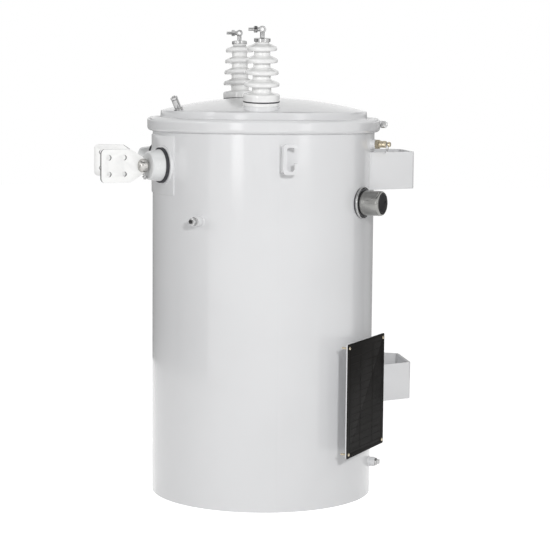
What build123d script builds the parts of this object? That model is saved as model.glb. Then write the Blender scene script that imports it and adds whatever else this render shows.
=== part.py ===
from build123d import *
from math import cos, radians, sin, sqrt
import os

# Pole mounted distribution transformer: an upright round tank with a clamped domed cover, two high voltage
# bushings on the cover, two low voltage bushings on the front and two support lugs on the pole side.
# Millimetres. +Z is up, the origin is on the tank's axis at the floor, the low voltage side faces -Y and the
# pole side faces +Y. Azimuths are in degrees from -Y towards +X.

# Tank
TANK_R = 308.0
WALL_T = 4.0
WALL_TOP = 1032.0
PAN_RISE = 16.0
PAN_T = 4.0
PAN_CORNER_R = 14.0
BEAD_OUT = 10.0
BEAD_DEEP = 19.4
BEAD_CORNER_R = 7.4

# Cover: a crown arc, a short skirt and a flat flange
GASKET_T = 5.0
GASKET_INNER_R = 290.0
GASKET_OUTER_R = 316.0
SHEET_T = 3.0
CROWN_TOP = 1102.0
CROWN_R = 1110.0
SKIRT_TOP_R = 285.5
SKIRT_FOOT_R = 288.0
FLANGE_TOP = WALL_TOP + GASKET_T + SHEET_T
FLANGE_R = 318.0

# Cover band: a C section split at its closing lugs
BAND_OUTER_R = 323.0
BAND_INNER_R = 301.0
BAND_LOW = 1009.0
BAND_HIGH = 1047.0
BAND_T = 3.0
BAND_CORNER_R = 10.9
BAND_MOUTH_R = 309.5
BAND_FOOT_LIP = 3.0
BAND_CLEAR = 0.3
BAND_SPLIT_AZIMUTH = 172.0
BAND_GAP = 16.0
CLOSING_LUG = (10.0, 19.0, 19.0)
CLOSING_LUG_CORNER_R = 8.7
CLOSING_BOLT_R = 5.5
CLOSING_BOLT_OUT = 333.0
CLOSING_BOLT_Z = 1029.5
CLOSING_BOLT_L = 66.0
CLOSING_NUT_ACROSS = 17.0
CLOSING_NUT_T = 8.8
CLOSING_HEAD_T = 7.2

# High voltage bushings, along their own axes from the seat upwards
HV_X = 222.0
HV_Y = -38.0
HV_LEAN = 5.0
HV_LEAN_FRONT = 0.4
BOSS_R = 50.0
BOSS_TOP = 1083.0
BOSS_DEPTH = 33.0
SEAT_R = 48.0
SEAT_T = 9.0
HV_GASKET_R = 47.0
HV_GASKET_T = 3.0
COLLAR_R = 48.4
COLLAR_H = 19.0
COLLAR_FOOT_R = 1.5
COLLAR_TOP_R = 4.0
COLLAR_SLOPE = 4.5
SHED_HEIGHTS = (47.5, 79.0, 110.5, 142.0)
SHED_RADII = (47.0, 45.2, 42.2, 39.5)
NECK_RADII = (26.0, 25.0, 23.5, 22.0, 18.4)
SHED_ABOVE = 2.0
SHED_BELOW = 8.6
SHED_SLOPE = 10.0
SHED_DRAFT = 1.6
SHED_RIM_R = 4.9
SHED_ROOT_R = 3.0
PORCELAIN_H = 156.0
CAP_R = 21.8
CAP_H = 9.5
CAP_EDGE_R = 1.0
STEM_R = 6.0
STEM_H = 14.0
STEM_ROOT_R = 3.0
STEM_SUNK = 3.4
EYE_R = 9.2
EYE_T = 14.0
EYE_HOLE_R = 5.0
EYE_NECK_R = 5.8
EYE_BOLT_R = 4.1
EYE_BOLT_END = 37.0
EYE_NUT_ACROSS = 17.0
EYE_NUT_START = 13.5
EYE_NUT_T = 9.0

# Low voltage bushings, along their own axes outwards from the tank
LV_AZIMUTH = 21.2
LV_Z = 919.0
PLATE_HALF_ANGLE = 31.0
PLATE_T = 3.0
PLATE_LOW = 840.0
PLATE_HIGH = 998.0
LV_BOSS_R = 54.0
LV_BOSS_FACE = 314.0
LV_GASKET_R = 48.0
LV_GASKET_T = 8.0
LV_BODY_ROOT_R = 43.5
LV_BODY_END_R = 38.0
LV_BODY_L = 35.0
LV_BODY_FOOT_R = 0.8
LV_BODY_EDGE_R = 5.0
LV_NECK_R = 12.0
LV_NECK_L = 3.0
LV_HUB_R = 18.5
LV_HUB_L = 27.5
LV_HUB_BACK_R = 5.0
LV_HUB_FRONT_R = 14.5
SPADE_TIP = 494.0
SPADE_W = 89.0
SPADE_SQUARE = 86.0
SPADE_T = 7.0
SPADE_ROOT_W = 41.0
SPADE_INSET = 9.0
SPADE_SHOULDER_R = 4.0
SPADE_CORNER_R = 11.5
PAD_HOLE_SPACING = 44.45
PAD_HOLE_R = 7.15
CLAMP_BACK = 5.0
CLAMP_BOLT_R = 3.5
CLAMP_BOLT_L = 19.0
CLAMP_NUT_ACROSS = 11.0
CLAMP_NUT_T = 5.0

# Support lugs: legs that spread by LUG_SPLAY for each millimetre from the face plate towards the tank
LUG_SPACING = 590.5
LUG_UPPER_Z = 904.5
LUG_FACE_Y = 411.0
LUG_FACE_W = 165.0
LUG_SPLAY = 0.42
LUG_H = 103.0
LUG_T = 6.5
LUG_BEND_R = 13.0
LUG_SLOT_W = 20.6
LUG_SLOT_L = 46.0

# Lifting lugs
LIFT_AZIMUTH = 93.8
LIFT_Z = 945.0
LIFT_W = 38.5
LIFT_H = 80.0
LIFT_T = 10.0
LIFT_FACE = 346.0
LIFT_BAR = 9.0
LIFT_CORNER_R = 10.0
LIFT_POCKET_R = 6.0
LIFT_LIP = 4.0
LIFT_MOUTH_H = 37.0
LIFT_WEB_H = 68.0

# Tap changer
TAP_AZIMUTH = 142.0
TAP_Z = 822.0
TAP_FLANGE_R = 42.0
TAP_FLANGE_T = 6.0
TAP_CAP_R = 34.0
TAP_CAP_L = 58.0
TAP_EDGE_R = 5.0

# Pressure relief valve
RELIEF_AZIMUTH = 155.0
RELIEF_Z = 978.0
RELIEF_COUPLING_R = 13.0
RELIEF_COUPLING_L = 12.0
RELIEF_HEX_ACROSS = 24.0
RELIEF_HEX_L = 12.0
RELIEF_BARREL_R = 9.5
RELIEF_BARREL_L = 19.0
RELIEF_SHOULDER_R = 3.0
RELIEF_KNOB_R = 7.0
RELIEF_KNOB_EDGE_R = 1.5
RELIEF_NECK_R = 3.5
RELIEF_NECK_L = 3.2
RELIEF_KNOB_L = 8.0
RING_R = 12.0
RING_WIRE_R = 1.2

# Ground boss and bolt
GROUND_AZIMUTH = 49.0
GROUND_Z = 777.0
GROUND_BOSS_R = 13.5
GROUND_BOSS_L = 24.0
WASHER_R = 12.0
WASHER_T = 3.0
GROUND_HEAD_ACROSS = 19.0
GROUND_HEAD_T = 10.0

# Drain
DRAIN_AZIMUTH = 160.0
DRAIN_Z = 90.0
DRAIN_COUPLING_R = 13.0
DRAIN_COUPLING_L = 18.0
DRAIN_PLUG_R = 10.5
DRAIN_PLUG_L = 6.0
DRAIN_SQUARE = 11.0
DRAIN_SQUARE_L = 7.0

# Nameplate: upright, square to NAME_AZIMUTH, its middle NAME_SHIFT along from the point nearest the tank
NAME_AZIMUTH = 146.0
NAME_FACE = 339.5
NAME_SHIFT = -49.5
NAME_W = 255.0
NAME_H = 309.0
NAME_MIDDLE_Z = 301.0
NAME_T = 1.6
NAME_CORNER_R = 4.0
BACKING_T = 3.0
BRACKET_WEB_PLACES = (-84.0, 18.0)
BRACKET_WEB_H = 270.0
NAME_SCREW_R = 4.5
NAME_SCREW_H = 2.8
NAME_SCREW_DOME_R = 2.0
NAME_SCREW_SHANK_R = 2.5
NAME_SCREW_L = 20.0
NAME_SCREW_EDGE = 11.0
NAME_NUT_ACROSS = 9.0
NAME_NUT_T = 4.0
NAME_HOLE_R = 2.75

# Cover stud
STUD_AZIMUTH = 24.5
STUD_RADIUS = 272.0
STUD_LEAN = 25.0
STUD_BASE_R = 12.5
STUD_BASE_T = 5.0
STUD_R = 9.3
STUD_L = 25.0
STUD_EDGE_R = 1.0
STUD_GROOVE_R = 6.5
STUD_GROOVE_L = 1.6
STUD_CAP_R = 9.8
STUD_CAP_L = 6.0
STUD_TIP_R = 4.5
STUD_TIP_L = 3.0

SEATED = 0.02


def side_plane(azimuth, radius, height):
    """Plane facing straight out of the tank: x along the wall, y up, z outwards."""
    turn = radians(azimuth)
    outwards = Vector(sin(turn), -cos(turn), 0)
    along = Vector(cos(turn), sin(turn), 0)
    return Plane(origin=outwards * radius + Vector(0, 0, height), x_dir=along, z_dir=outwards)


def disc(radius, start, length):
    """Round bar along local z."""
    return Pos(0, 0, start) * Cylinder(radius, length, align=(Align.CENTER, Align.CENTER, Align.MIN))


def hexagon(across, start, length):
    """Hexagonal bar along local z, sized across its flats."""
    outline = RegularPolygon(across / 2, 6, major_radius=False)
    return Pos(0, 0, start) * extrude(outline, length)


def turned(corners, fillets):
    """Solid of revolution about local z, from (radius, height) corners that start and end on the axis."""
    outline = FilletPolyline(*corners, radius=fillets)
    closing = Line(corners[-1], corners[0])
    return revolve(Plane.XZ * make_face([outline, closing]), Axis.Z)


def ring(inner, outer, low, high):
    """Flat ring about the tank's axis."""
    return disc(outer, low, high - low) - disc(inner, low, high - low)


def dome_height(radius):
    """Height of the cover's outer surface at this distance from the axis."""
    return CROWN_TOP - CROWN_R + sqrt(CROWN_R**2 - radius**2)


def hv_plane(side):
    """Seat of a high voltage bushing, leaning outwards: z along the bushing, y to the rear."""
    return Plane.XY * Pos(side * HV_X, HV_Y, BOSS_TOP) * Rot(HV_LEAN_FRONT, side * HV_LEAN, 0)


def cover_volume(inset):
    """Everything under the cover's surface, down to its flange, drawn in by the inset."""
    middle = SKIRT_TOP_R / 2
    edge = (SKIRT_TOP_R - inset, dome_height(SKIRT_TOP_R) - inset)
    crown = ThreePointArc((0, CROWN_TOP - inset), (middle, dome_height(middle) - inset), edge)
    foot = FLANGE_TOP - SHEET_T
    skirt = Polyline(edge, (SKIRT_FOOT_R - inset, foot), (0, foot), crown @ 0)
    body = revolve(Plane.XZ * make_face([crown, skirt]), Axis.Z)
    for side in (1, -1):
        body += hv_plane(side) * disc(BOSS_R - inset, -BOSS_DEPTH, BOSS_DEPTH - inset)
        body -= hv_plane(side) * disc(BOSS_R + inset, -inset, BOSS_DEPTH)
    return body


def make_tank_wall():
    """Rolled wall of the tank, open at both ends."""
    return ring(TANK_R - WALL_T, TANK_R, 0, WALL_TOP)


def make_tank_bottom():
    """Recessed bottom: a pan with its flange turned down inside the foot of the wall."""
    outer_r = TANK_R - WALL_T
    outside = turned(
        [(0, 0), (outer_r, 0), (outer_r, PAN_RISE + PAN_T), (0, PAN_RISE + PAN_T)],
        [0, PAN_CORNER_R],
    )
    inside_r = outer_r - PAN_T
    hollow = turned(
        [(0, 0), (inside_r, 0), (inside_r, PAN_RISE), (0, PAN_RISE)],
        [0, PAN_CORNER_R - PAN_T],
    )
    return outside - hollow


def make_tank_bead():
    """Rounded bead outside the wall's top, which the cover band grips."""
    low = WALL_TOP - BEAD_DEEP
    outer = TANK_R + BEAD_OUT
    corners = [(TANK_R, low), (outer, low), (outer, WALL_TOP), (TANK_R, WALL_TOP)]
    outline = FilletPolyline(*corners, radius=[BEAD_CORNER_R, 1.0])
    return revolve(Plane.XZ * make_face([outline, Line(corners[-1], corners[0])]), Axis.Z)


def make_cover():
    """Pressed cover: shallow dome with two raised bosses, a skirt and a flat flange."""
    flange = ring(SKIRT_FOOT_R - SHEET_T, FLANGE_R, FLANGE_TOP - SHEET_T, FLANGE_TOP)
    shell = cover_volume(0) - cover_volume(SHEET_T)
    return shell + flange


def make_cover_gasket():
    """Flat gasket between the tank's top and the cover's flange."""
    return ring(GASKET_INNER_R, GASKET_OUTER_R, WALL_TOP, WALL_TOP + GASKET_T)


def make_cover_band():
    """C-section band round the cover's edge, split and closed by two lugs."""
    middle = Pos((BAND_INNER_R + BAND_OUTER_R) / 2, (BAND_LOW + BAND_HIGH) / 2)
    width = BAND_OUTER_R - BAND_INNER_R
    height = BAND_HIGH - BAND_LOW
    section = middle * RectangleRounded(width, height, BAND_CORNER_R)
    section -= middle * RectangleRounded(width - 2 * BAND_T, height - 2 * BAND_T, BAND_CORNER_R - BAND_T)
    mouth_low = BAND_LOW + BAND_FOOT_LIP
    mouth = Rectangle(BAND_MOUTH_R, FLANGE_TOP - mouth_low, align=(Align.MIN, Align.MIN))
    section -= Pos(0, mouth_low) * mouth
    below = Rectangle(TANK_R + BAND_CLEAR, mouth_low, align=(Align.MIN, Align.MIN))
    section -= below
    band = revolve(Plane.XZ * section, Axis.Z)
    split = side_plane(BAND_SPLIT_AZIMUTH, BAND_OUTER_R, (BAND_LOW + BAND_HIGH) / 2)
    band -= split * Box(BAND_GAP, 2 * height, 2 * height)
    along, tall, deep = CLOSING_LUG
    outside = disc(BAND_OUTER_R - BAND_T / 2, 0, 2 * BAND_HIGH)
    bolt_plane = side_plane(BAND_SPLIT_AZIMUTH, CLOSING_BOLT_OUT, CLOSING_BOLT_Z)
    for side in (1, -1):
        lug = Box(along, tall, deep + BAND_T)
        lug = fillet(lug.edges().filter_by(Axis.X).group_by(Axis.Z)[-1], CLOSING_LUG_CORNER_R)
        lug -= Rot(0, 90, 0) * Cylinder(CLOSING_BOLT_R + BAND_CLEAR, 2 * along)
        band += bolt_plane * Pos(side * (BAND_GAP + along) / 2, 0, 0) * lug - outside
    return band


def make_band_bolt():
    """Bolt that draws the band's closing lugs together, with its head and nut."""
    axis = side_plane(BAND_SPLIT_AZIMUTH, CLOSING_BOLT_OUT, CLOSING_BOLT_Z) * Rot(0, 90, 0)
    outer_faces = BAND_GAP / 2 + CLOSING_LUG[0]
    bolt = disc(CLOSING_BOLT_R, -CLOSING_BOLT_L / 2, CLOSING_BOLT_L)
    bolt += hexagon(CLOSING_NUT_ACROSS, outer_faces, CLOSING_NUT_T)
    bolt += hexagon(CLOSING_NUT_ACROSS, -outer_faces - CLOSING_HEAD_T, CLOSING_HEAD_T)
    return axis * bolt


def make_cover_stud():
    """Stud on the cover's shoulder, leaning outwards: round foot, barrel, and a cap over a groove."""
    foot = side_plane(STUD_AZIMUTH, STUD_RADIUS, dome_height(STUD_RADIUS))
    upright = foot * Rot(STUD_LEAN - 90, 0, 0)
    body_end = STUD_BASE_T + STUD_L
    groove_end = body_end + STUD_GROOVE_L
    cap_end = groove_end + STUD_CAP_L
    tip_end = cap_end + STUD_TIP_L
    corners = [
        (0, -STUD_BASE_T),
        (STUD_BASE_R, -STUD_BASE_T),
        (STUD_BASE_R, STUD_BASE_T),
        (STUD_R, STUD_BASE_T),
        (STUD_R, body_end),
        (STUD_GROOVE_R, body_end),
        (STUD_GROOVE_R, groove_end),
        (STUD_CAP_R, groove_end),
        (STUD_CAP_R, cap_end),
        (STUD_TIP_R, cap_end),
        (STUD_TIP_R, tip_end),
        (0, tip_end),
    ]
    edge = STUD_EDGE_R
    stud = turned(corners, [0, edge, edge, edge, 0, 0, edge / 2, edge, edge / 2, edge])
    return upright * stud - cover_volume(0)


def make_hv_seat(side):
    """White ring on the cover's boss that carries the bushing."""
    return hv_plane(side) * disc(SEAT_R, 0, SEAT_T)


def make_hv_gasket(side):
    """Black gasket under the porcelain."""
    return hv_plane(side) * disc(HV_GASKET_R, SEAT_T, HV_GASKET_T)


def porcelain_profile():
    """Corners and corner radii of the porcelain, from its foot to its top."""
    corners = [(0, 0), (COLLAR_R, 0), (COLLAR_R, COLLAR_H), (NECK_RADII[0], COLLAR_H + COLLAR_SLOPE)]
    fillets = [COLLAR_FOOT_R, COLLAR_TOP_R, SHED_ROOT_R]
    for height, rim_r, neck_r in zip(SHED_HEIGHTS, SHED_RADII, NECK_RADII[1:]):
        below_r = corners[-1][0]
        corners += [
            (below_r, height - SHED_BELOW - SHED_DRAFT),
            (rim_r, height - SHED_BELOW),
            (rim_r, height + SHED_ABOVE),
            (neck_r, height + SHED_SLOPE),
        ]
        fillets += [SHED_ROOT_R, SHED_RIM_R, SHED_RIM_R, SHED_ROOT_R]
    corners += [(NECK_RADII[-1], PORCELAIN_H), (0, PORCELAIN_H)]
    fillets += [COLLAR_FOOT_R]
    return corners, fillets


def make_hv_porcelain(side):
    """Shedded porcelain of a high voltage bushing."""
    corners, fillets = porcelain_profile()
    return hv_plane(side) * Pos(0, 0, SEAT_T + HV_GASKET_T) * turned(corners, fillets)


def make_hv_cap(side):
    """Metal cap on top of the porcelain, with the stem that carries the terminal."""
    stem_end = CAP_H + STEM_H + STEM_SUNK
    corners = [(0, 0), (CAP_R, 0), (CAP_R, CAP_H), (STEM_R, CAP_H), (STEM_R, stem_end), (0, stem_end)]
    top = Pos(0, 0, SEAT_T + HV_GASKET_T + PORCELAIN_H)
    cap = hv_plane(side) * top * turned(corners, [CAP_EDGE_R, CAP_EDGE_R, STEM_ROOT_R, 0])
    return cap - make_hv_terminal(side)


def make_hv_terminal(side):
    """Eye for the line wire on the stem, with its clamping bolt and nut towards the front."""
    level = SEAT_T + HV_GASKET_T + PORCELAIN_H + CAP_H + STEM_H + EYE_R
    frontwards = Rot(90, 0, 0)
    sideways = Rot(0, 90, 0)
    terminal = sideways * Cylinder(EYE_R, EYE_T)
    terminal += frontwards * disc(EYE_NECK_R, 0, EYE_NUT_START)
    terminal += frontwards * hexagon(EYE_NUT_ACROSS, EYE_NUT_START, EYE_NUT_T)
    terminal += frontwards * disc(EYE_BOLT_R, EYE_NUT_START, EYE_BOLT_END - EYE_NUT_START)
    terminal -= sideways * Cylinder(EYE_HOLE_R, 2 * EYE_T)
    return hv_plane(side) * Pos(0, 0, level) * terminal


def make_bushing_plate():
    """Raised plate on the tank's front, with a flat round boss under each low voltage bushing."""
    plate = ring(TANK_R, TANK_R + PLATE_T, PLATE_LOW, PLATE_HIGH)
    half_w = 2 * TANK_R
    for side in (1, -1):
        beyond = side_plane(side * PLATE_HALF_ANGLE, 0, (PLATE_LOW + PLATE_HIGH) / 2)
        plate -= beyond * Pos(side * half_w / 2, 0, 0) * Box(half_w, PLATE_HIGH, 4 * TANK_R)
    inside = disc(TANK_R, 0, WALL_TOP)
    for side in (1, -1):
        boss = disc(LV_BOSS_R, TANK_R / 2, LV_BOSS_FACE - TANK_R / 2)
        boss = side_plane(side * LV_AZIMUTH, 0, LV_Z) * boss
        plate += boss - inside
    return plate


def lv_plane(side):
    """Face of a low voltage bushing's boss."""
    return side_plane(side * LV_AZIMUTH, LV_BOSS_FACE, LV_Z)


def make_lv_gasket(side):
    """Black gasket between the boss and the bushing."""
    return lv_plane(side) * disc(LV_GASKET_R, 0, LV_GASKET_T)


def make_lv_body(side):
    """Light insulating body of a low voltage bushing, tapering outwards."""
    corners = [(0, 0), (LV_BODY_ROOT_R, 0), (LV_BODY_END_R, LV_BODY_L), (0, LV_BODY_L)]
    return lv_plane(side) * Pos(0, 0, LV_GASKET_T) * turned(corners, [LV_BODY_FOOT_R, LV_BODY_EDGE_R])


def make_lv_hub(side):
    """Stud and rounded metal hub between the body and the spade."""
    neck_end = LV_NECK_L
    hub_end = neck_end + LV_HUB_L
    corners = [
        (0, 0),
        (LV_NECK_R, 0),
        (LV_NECK_R, neck_end),
        (LV_HUB_R, neck_end),
        (LV_HUB_R, hub_end),
        (0, hub_end),
    ]
    hub = turned(corners, [0, 0, LV_HUB_BACK_R, LV_HUB_FRONT_R])
    return lv_plane(side) * Pos(0, 0, LV_GASKET_T + LV_BODY_L) * hub


def make_lv_spade(side):
    """Four-hole flat pad in an upright plane through the bushing's axis."""
    face = side_plane(side * LV_AZIMUTH, 0, LV_Z)
    root = LV_BOSS_FACE + LV_GASKET_T + LV_BODY_L + LV_NECK_L + SPADE_INSET
    square_start = SPADE_TIP - SPADE_SQUARE
    half_w = SPADE_W / 2
    half_root = SPADE_ROOT_W / 2
    corners = [
        (root, half_root),
        (square_start, half_w),
        (SPADE_TIP, half_w),
        (SPADE_TIP, -half_w),
        (square_start, -half_w),
        (root, -half_root),
    ]
    fillets = [SPADE_SHOULDER_R, SPADE_CORNER_R, SPADE_CORNER_R, SPADE_SHOULDER_R]
    outline = FilletPolyline(*corners, radius=fillets)
    sheet = make_face([outline, Line(corners[-1], corners[0])])
    centre_r = SPADE_TIP - half_w
    for hole in GridLocations(PAD_HOLE_SPACING, PAD_HOLE_SPACING, 2, 2):
        sheet -= Pos(centre_r, 0) * hole * Circle(PAD_HOLE_R)
    upright = Plane(origin=face.origin, x_dir=face.z_dir, z_dir=face.x_dir * -1)
    pad = upright * extrude(sheet, SPADE_T / 2, both=True)
    return pad - make_lv_hub(side)


def make_lv_clamp_bolt(side):
    """Small bolt hanging under the hub that clamps the spade on its stud, with its nut."""
    middle = LV_GASKET_T + LV_BODY_L + LV_NECK_L + CLAMP_BACK
    down = lv_plane(side) * Pos(0, 0, middle) * Rot(90, 0, 0)
    bolt = disc(CLAMP_BOLT_R, LV_HUB_R / 2, LV_HUB_R / 2 + CLAMP_BOLT_L)
    bolt += hexagon(CLAMP_NUT_ACROSS, LV_HUB_R + CLAMP_BOLT_L - 2 * CLAMP_NUT_T, CLAMP_NUT_T)
    return down * bolt - make_lv_hub(side)


def leg_half_width(y, inset):
    """Half the width across a support lug's legs at this distance from the tank's axis."""
    return LUG_FACE_W / 2 + LUG_SPLAY * (LUG_FACE_Y - y) - inset * sqrt(1 + LUG_SPLAY**2)


def lug_plan(inset):
    """Plan of a support lug with everything inside it, drawn in by the inset."""
    face = LUG_FACE_Y - inset
    near = leg_half_width(face, inset)
    root = leg_half_width(-inset, inset)
    corners = [(root, -inset), (near, face), (-near, face), (-root, -inset)]
    return make_face([FilletPolyline(*corners, radius=LUG_BEND_R - inset), Line(corners[-1], corners[0])])


def make_support_lug(height):
    """Bent bracket welded to the tank: two splayed legs and a slotted face plate towards the pole."""
    bracket = Pos(0, 0, height) * extrude(lug_plan(0) - lug_plan(LUG_T), LUG_H / 2, both=True)
    slot = Plane.XZ * SlotOverall(LUG_SLOT_L, LUG_SLOT_W, rotation=90)
    cutter = Pos(0, LUG_FACE_Y - LUG_T / 2, height) * extrude(slot, LUG_T, both=True)
    return bracket - disc(TANK_R, 0, WALL_TOP) - cutter


def make_lifting_lug(side):
    """Hook shaped plate standing off the tank on a web, its mouth to the pole side below a short lip."""
    half_w = LIFT_W / 2
    half_h = LIFT_H / 2
    plate = RectangleRounded(LIFT_W, LIFT_H, LIFT_CORNER_R)
    plate -= RectangleRounded(LIFT_W - 2 * LIFT_BAR, LIFT_H - 2 * LIFT_BAR, LIFT_POCKET_R)
    mouth = Rectangle(LIFT_W, LIFT_MOUTH_H, align=(Align.MIN, Align.MAX))
    plate -= Pos(0, half_h - LIFT_BAR - LIFT_LIP) * mouth
    hook = extrude(plate, -LIFT_T)
    web_deep = LIFT_FACE - LIFT_T - TANK_R / 2
    web = Box(LIFT_BAR, LIFT_WEB_H, web_deep, align=(Align.MIN, Align.CENTER, Align.MAX))
    hook += Pos(-half_w, 0, -LIFT_T) * web
    placed = side_plane(LIFT_AZIMUTH, LIFT_FACE, LIFT_Z) * hook - disc(TANK_R, 0, WALL_TOP)
    if side < 0:
        return mirror(placed, Plane.YZ)
    return placed


def on_wall(azimuth, height, solid):
    """The solid set on the tank's wall at this azimuth and height, trimmed to the wall."""
    return side_plane(azimuth, TANK_R, height) * solid - disc(TANK_R, 0, WALL_TOP)


def make_tap_flange():
    """Dark flange at the root of the tap changer cap."""
    return on_wall(TAP_AZIMUTH, TAP_Z, disc(TAP_FLANGE_R, -TAP_FLANGE_T, 2 * TAP_FLANGE_T))


def make_tap_cap():
    """Round metal cap over the tap changer's handle."""
    corners = [(0, 0), (TAP_CAP_R, 0), (TAP_CAP_R, TAP_CAP_L), (0, TAP_CAP_L)]
    return side_plane(TAP_AZIMUTH, TANK_R + TAP_FLANGE_T, TAP_Z) * turned(corners, [0, TAP_EDGE_R])


def make_relief_coupling():
    """Painted coupling welded to the wall for the relief valve."""
    coupling = disc(RELIEF_COUPLING_R, -RELIEF_COUPLING_L, 2 * RELIEF_COUPLING_L)
    return on_wall(RELIEF_AZIMUTH, RELIEF_Z, coupling)


def make_relief_valve():
    """Brass relief valve: hexagon, barrel and end knob."""
    valve = hexagon(RELIEF_HEX_ACROSS, 0, RELIEF_HEX_L)
    barrel_end = RELIEF_HEX_L + RELIEF_BARREL_L
    neck_end = barrel_end + RELIEF_NECK_L
    knob_end = neck_end + RELIEF_KNOB_L
    corners = [
        (0, 0),
        (RELIEF_BARREL_R, 0),
        (RELIEF_BARREL_R, barrel_end),
        (RELIEF_NECK_R, barrel_end),
        (RELIEF_NECK_R, neck_end),
        (RELIEF_KNOB_R, neck_end),
        (RELIEF_KNOB_R, knob_end),
        (0, knob_end),
    ]
    knob_edge = RELIEF_KNOB_EDGE_R
    valve += turned(corners, [0, RELIEF_SHOULDER_R, 0, 0, knob_edge, knob_edge])
    return side_plane(RELIEF_AZIMUTH, TANK_R + RELIEF_COUPLING_L, RELIEF_Z) * valve


def make_relief_ring():
    """Pull ring hanging from the neck of the valve's knob."""
    neck = RELIEF_COUPLING_L + RELIEF_HEX_L + RELIEF_BARREL_L + RELIEF_NECK_L / 2
    drop = RELIEF_NECK_R + RING_WIRE_R + SEATED - RING_R
    plane = side_plane(RELIEF_AZIMUTH, TANK_R + neck, RELIEF_Z)
    return plane * Pos(0, drop, 0) * Torus(RING_R, RING_WIRE_R)


def make_ground_boss():
    """Painted boss for the tank's ground connection."""
    return on_wall(GROUND_AZIMUTH, GROUND_Z, disc(GROUND_BOSS_R, -GROUND_BOSS_L, 2 * GROUND_BOSS_L))


def make_ground_bolt():
    """Ground bolt: washer and hexagon head on the boss."""
    bolt = disc(WASHER_R, 0, WASHER_T) + hexagon(GROUND_HEAD_ACROSS, WASHER_T, GROUND_HEAD_T)
    return side_plane(GROUND_AZIMUTH, TANK_R + GROUND_BOSS_L, GROUND_Z) * bolt


def make_drain_coupling():
    """Painted coupling of the drain, low on the wall."""
    return on_wall(DRAIN_AZIMUTH, DRAIN_Z, disc(DRAIN_COUPLING_R, -DRAIN_COUPLING_L, 2 * DRAIN_COUPLING_L))


def make_drain_plug():
    """Pipe plug in the drain, with a square head."""
    plug = disc(DRAIN_PLUG_R, 0, DRAIN_PLUG_L)
    head = Box(DRAIN_SQUARE, DRAIN_SQUARE, DRAIN_SQUARE_L, align=(Align.CENTER, Align.CENTER, Align.MIN))
    plug += Pos(0, 0, DRAIN_PLUG_L) * head
    return side_plane(DRAIN_AZIMUTH, TANK_R + DRAIN_COUPLING_L, DRAIN_Z) * plug


def name_plane():
    """Back of the nameplate, at its middle."""
    nearest = side_plane(NAME_AZIMUTH, NAME_FACE - NAME_T, NAME_MIDDLE_Z)
    return nearest * Pos(NAME_SHIFT, 0, 0)


def name_screw_places():
    """Places of the four corner screws."""
    return GridLocations(NAME_W - 2 * NAME_SCREW_EDGE, NAME_H - 2 * NAME_SCREW_EDGE, 2, 2)


def plate_sheet(start, thickness):
    """Rounded sheet of the nameplate's size with its four screw holes, from this depth outwards."""
    outline = RectangleRounded(NAME_W, NAME_H, NAME_CORNER_R)
    for place in name_screw_places():
        outline -= place * Circle(NAME_HOLE_R)
    return name_plane() * Pos(0, 0, start) * extrude(outline, thickness)


def make_nameplate_bracket():
    """Backing sheet that carries the nameplate, held off the wall by two upright webs."""
    bracket = plate_sheet(-BACKING_T, BACKING_T)
    web = Box(BACKING_T, BRACKET_WEB_H, NAME_FACE, align=(Align.CENTER, Align.CENTER, Align.MAX))
    for place in BRACKET_WEB_PLACES:
        bracket += name_plane() * Pos(place - NAME_SHIFT, 0, -BACKING_T / 2) * web
    return bracket - disc(TANK_R, 0, WALL_TOP)


def make_nameplate():
    """Flat nameplate with rounded corners, left bare."""
    return plate_sheet(0, NAME_T)


def make_nameplate_screws():
    """Four dome headed screws through the nameplate and its backing, with a nut behind each."""
    corners = [(0, 0), (NAME_SCREW_R, 0), (NAME_SCREW_R, NAME_SCREW_H), (0, NAME_SCREW_H)]
    screw = Pos(0, 0, NAME_T) * turned(corners, [0, NAME_SCREW_DOME_R])
    screw += disc(NAME_SCREW_SHANK_R, -NAME_SCREW_L, NAME_SCREW_L + NAME_T)
    screw += hexagon(NAME_NUT_ACROSS, -BACKING_T - NAME_NUT_T, NAME_NUT_T)
    return Compound([name_plane() * place * screw for place in name_screw_places()])


def build_nodes():
    """Every node by name."""
    nodes = {
        "tank_wall": make_tank_wall(),
        "tank_bottom": make_tank_bottom(),
        "tank_bead": make_tank_bead(),
        "cover": make_cover(),
        "cover_gasket": make_cover_gasket(),
        "cover_band": make_cover_band(),
        "band_bolt": make_band_bolt(),
        "cover_stud": make_cover_stud(),
        "bushing_plate": make_bushing_plate(),
        "support_lug_upper": make_support_lug(LUG_UPPER_Z),
        "support_lug_lower": make_support_lug(LUG_UPPER_Z - LUG_SPACING),
        "tap_changer_flange": make_tap_flange(),
        "tap_changer_cap": make_tap_cap(),
        "relief_coupling": make_relief_coupling(),
        "relief_valve": make_relief_valve(),
        "relief_ring": make_relief_ring(),
        "ground_boss": make_ground_boss(),
        "ground_bolt": make_ground_bolt(),
        "drain_coupling": make_drain_coupling(),
        "drain_plug": make_drain_plug(),
        "nameplate_bracket": make_nameplate_bracket(),
        "nameplate": make_nameplate(),
        "nameplate_screws": make_nameplate_screws(),
    }
    for side, word in ((1, "right"), (-1, "left")):
        nodes[f"lifting_lug_{word}"] = make_lifting_lug(side)
        nodes[f"hv_seat_{word}"] = make_hv_seat(side)
        nodes[f"hv_gasket_{word}"] = make_hv_gasket(side)
        nodes[f"hv_porcelain_{word}"] = make_hv_porcelain(side)
        nodes[f"hv_cap_{word}"] = make_hv_cap(side)
        nodes[f"hv_terminal_{word}"] = make_hv_terminal(side)
        nodes[f"lv_gasket_{word}"] = make_lv_gasket(side)
        nodes[f"lv_body_{word}"] = make_lv_body(side)
        nodes[f"lv_hub_{word}"] = make_lv_hub(side)
        nodes[f"lv_spade_{word}"] = make_lv_spade(side)
        nodes[f"lv_clamp_bolt_{word}"] = make_lv_clamp_bolt(side)
    return nodes


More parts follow.
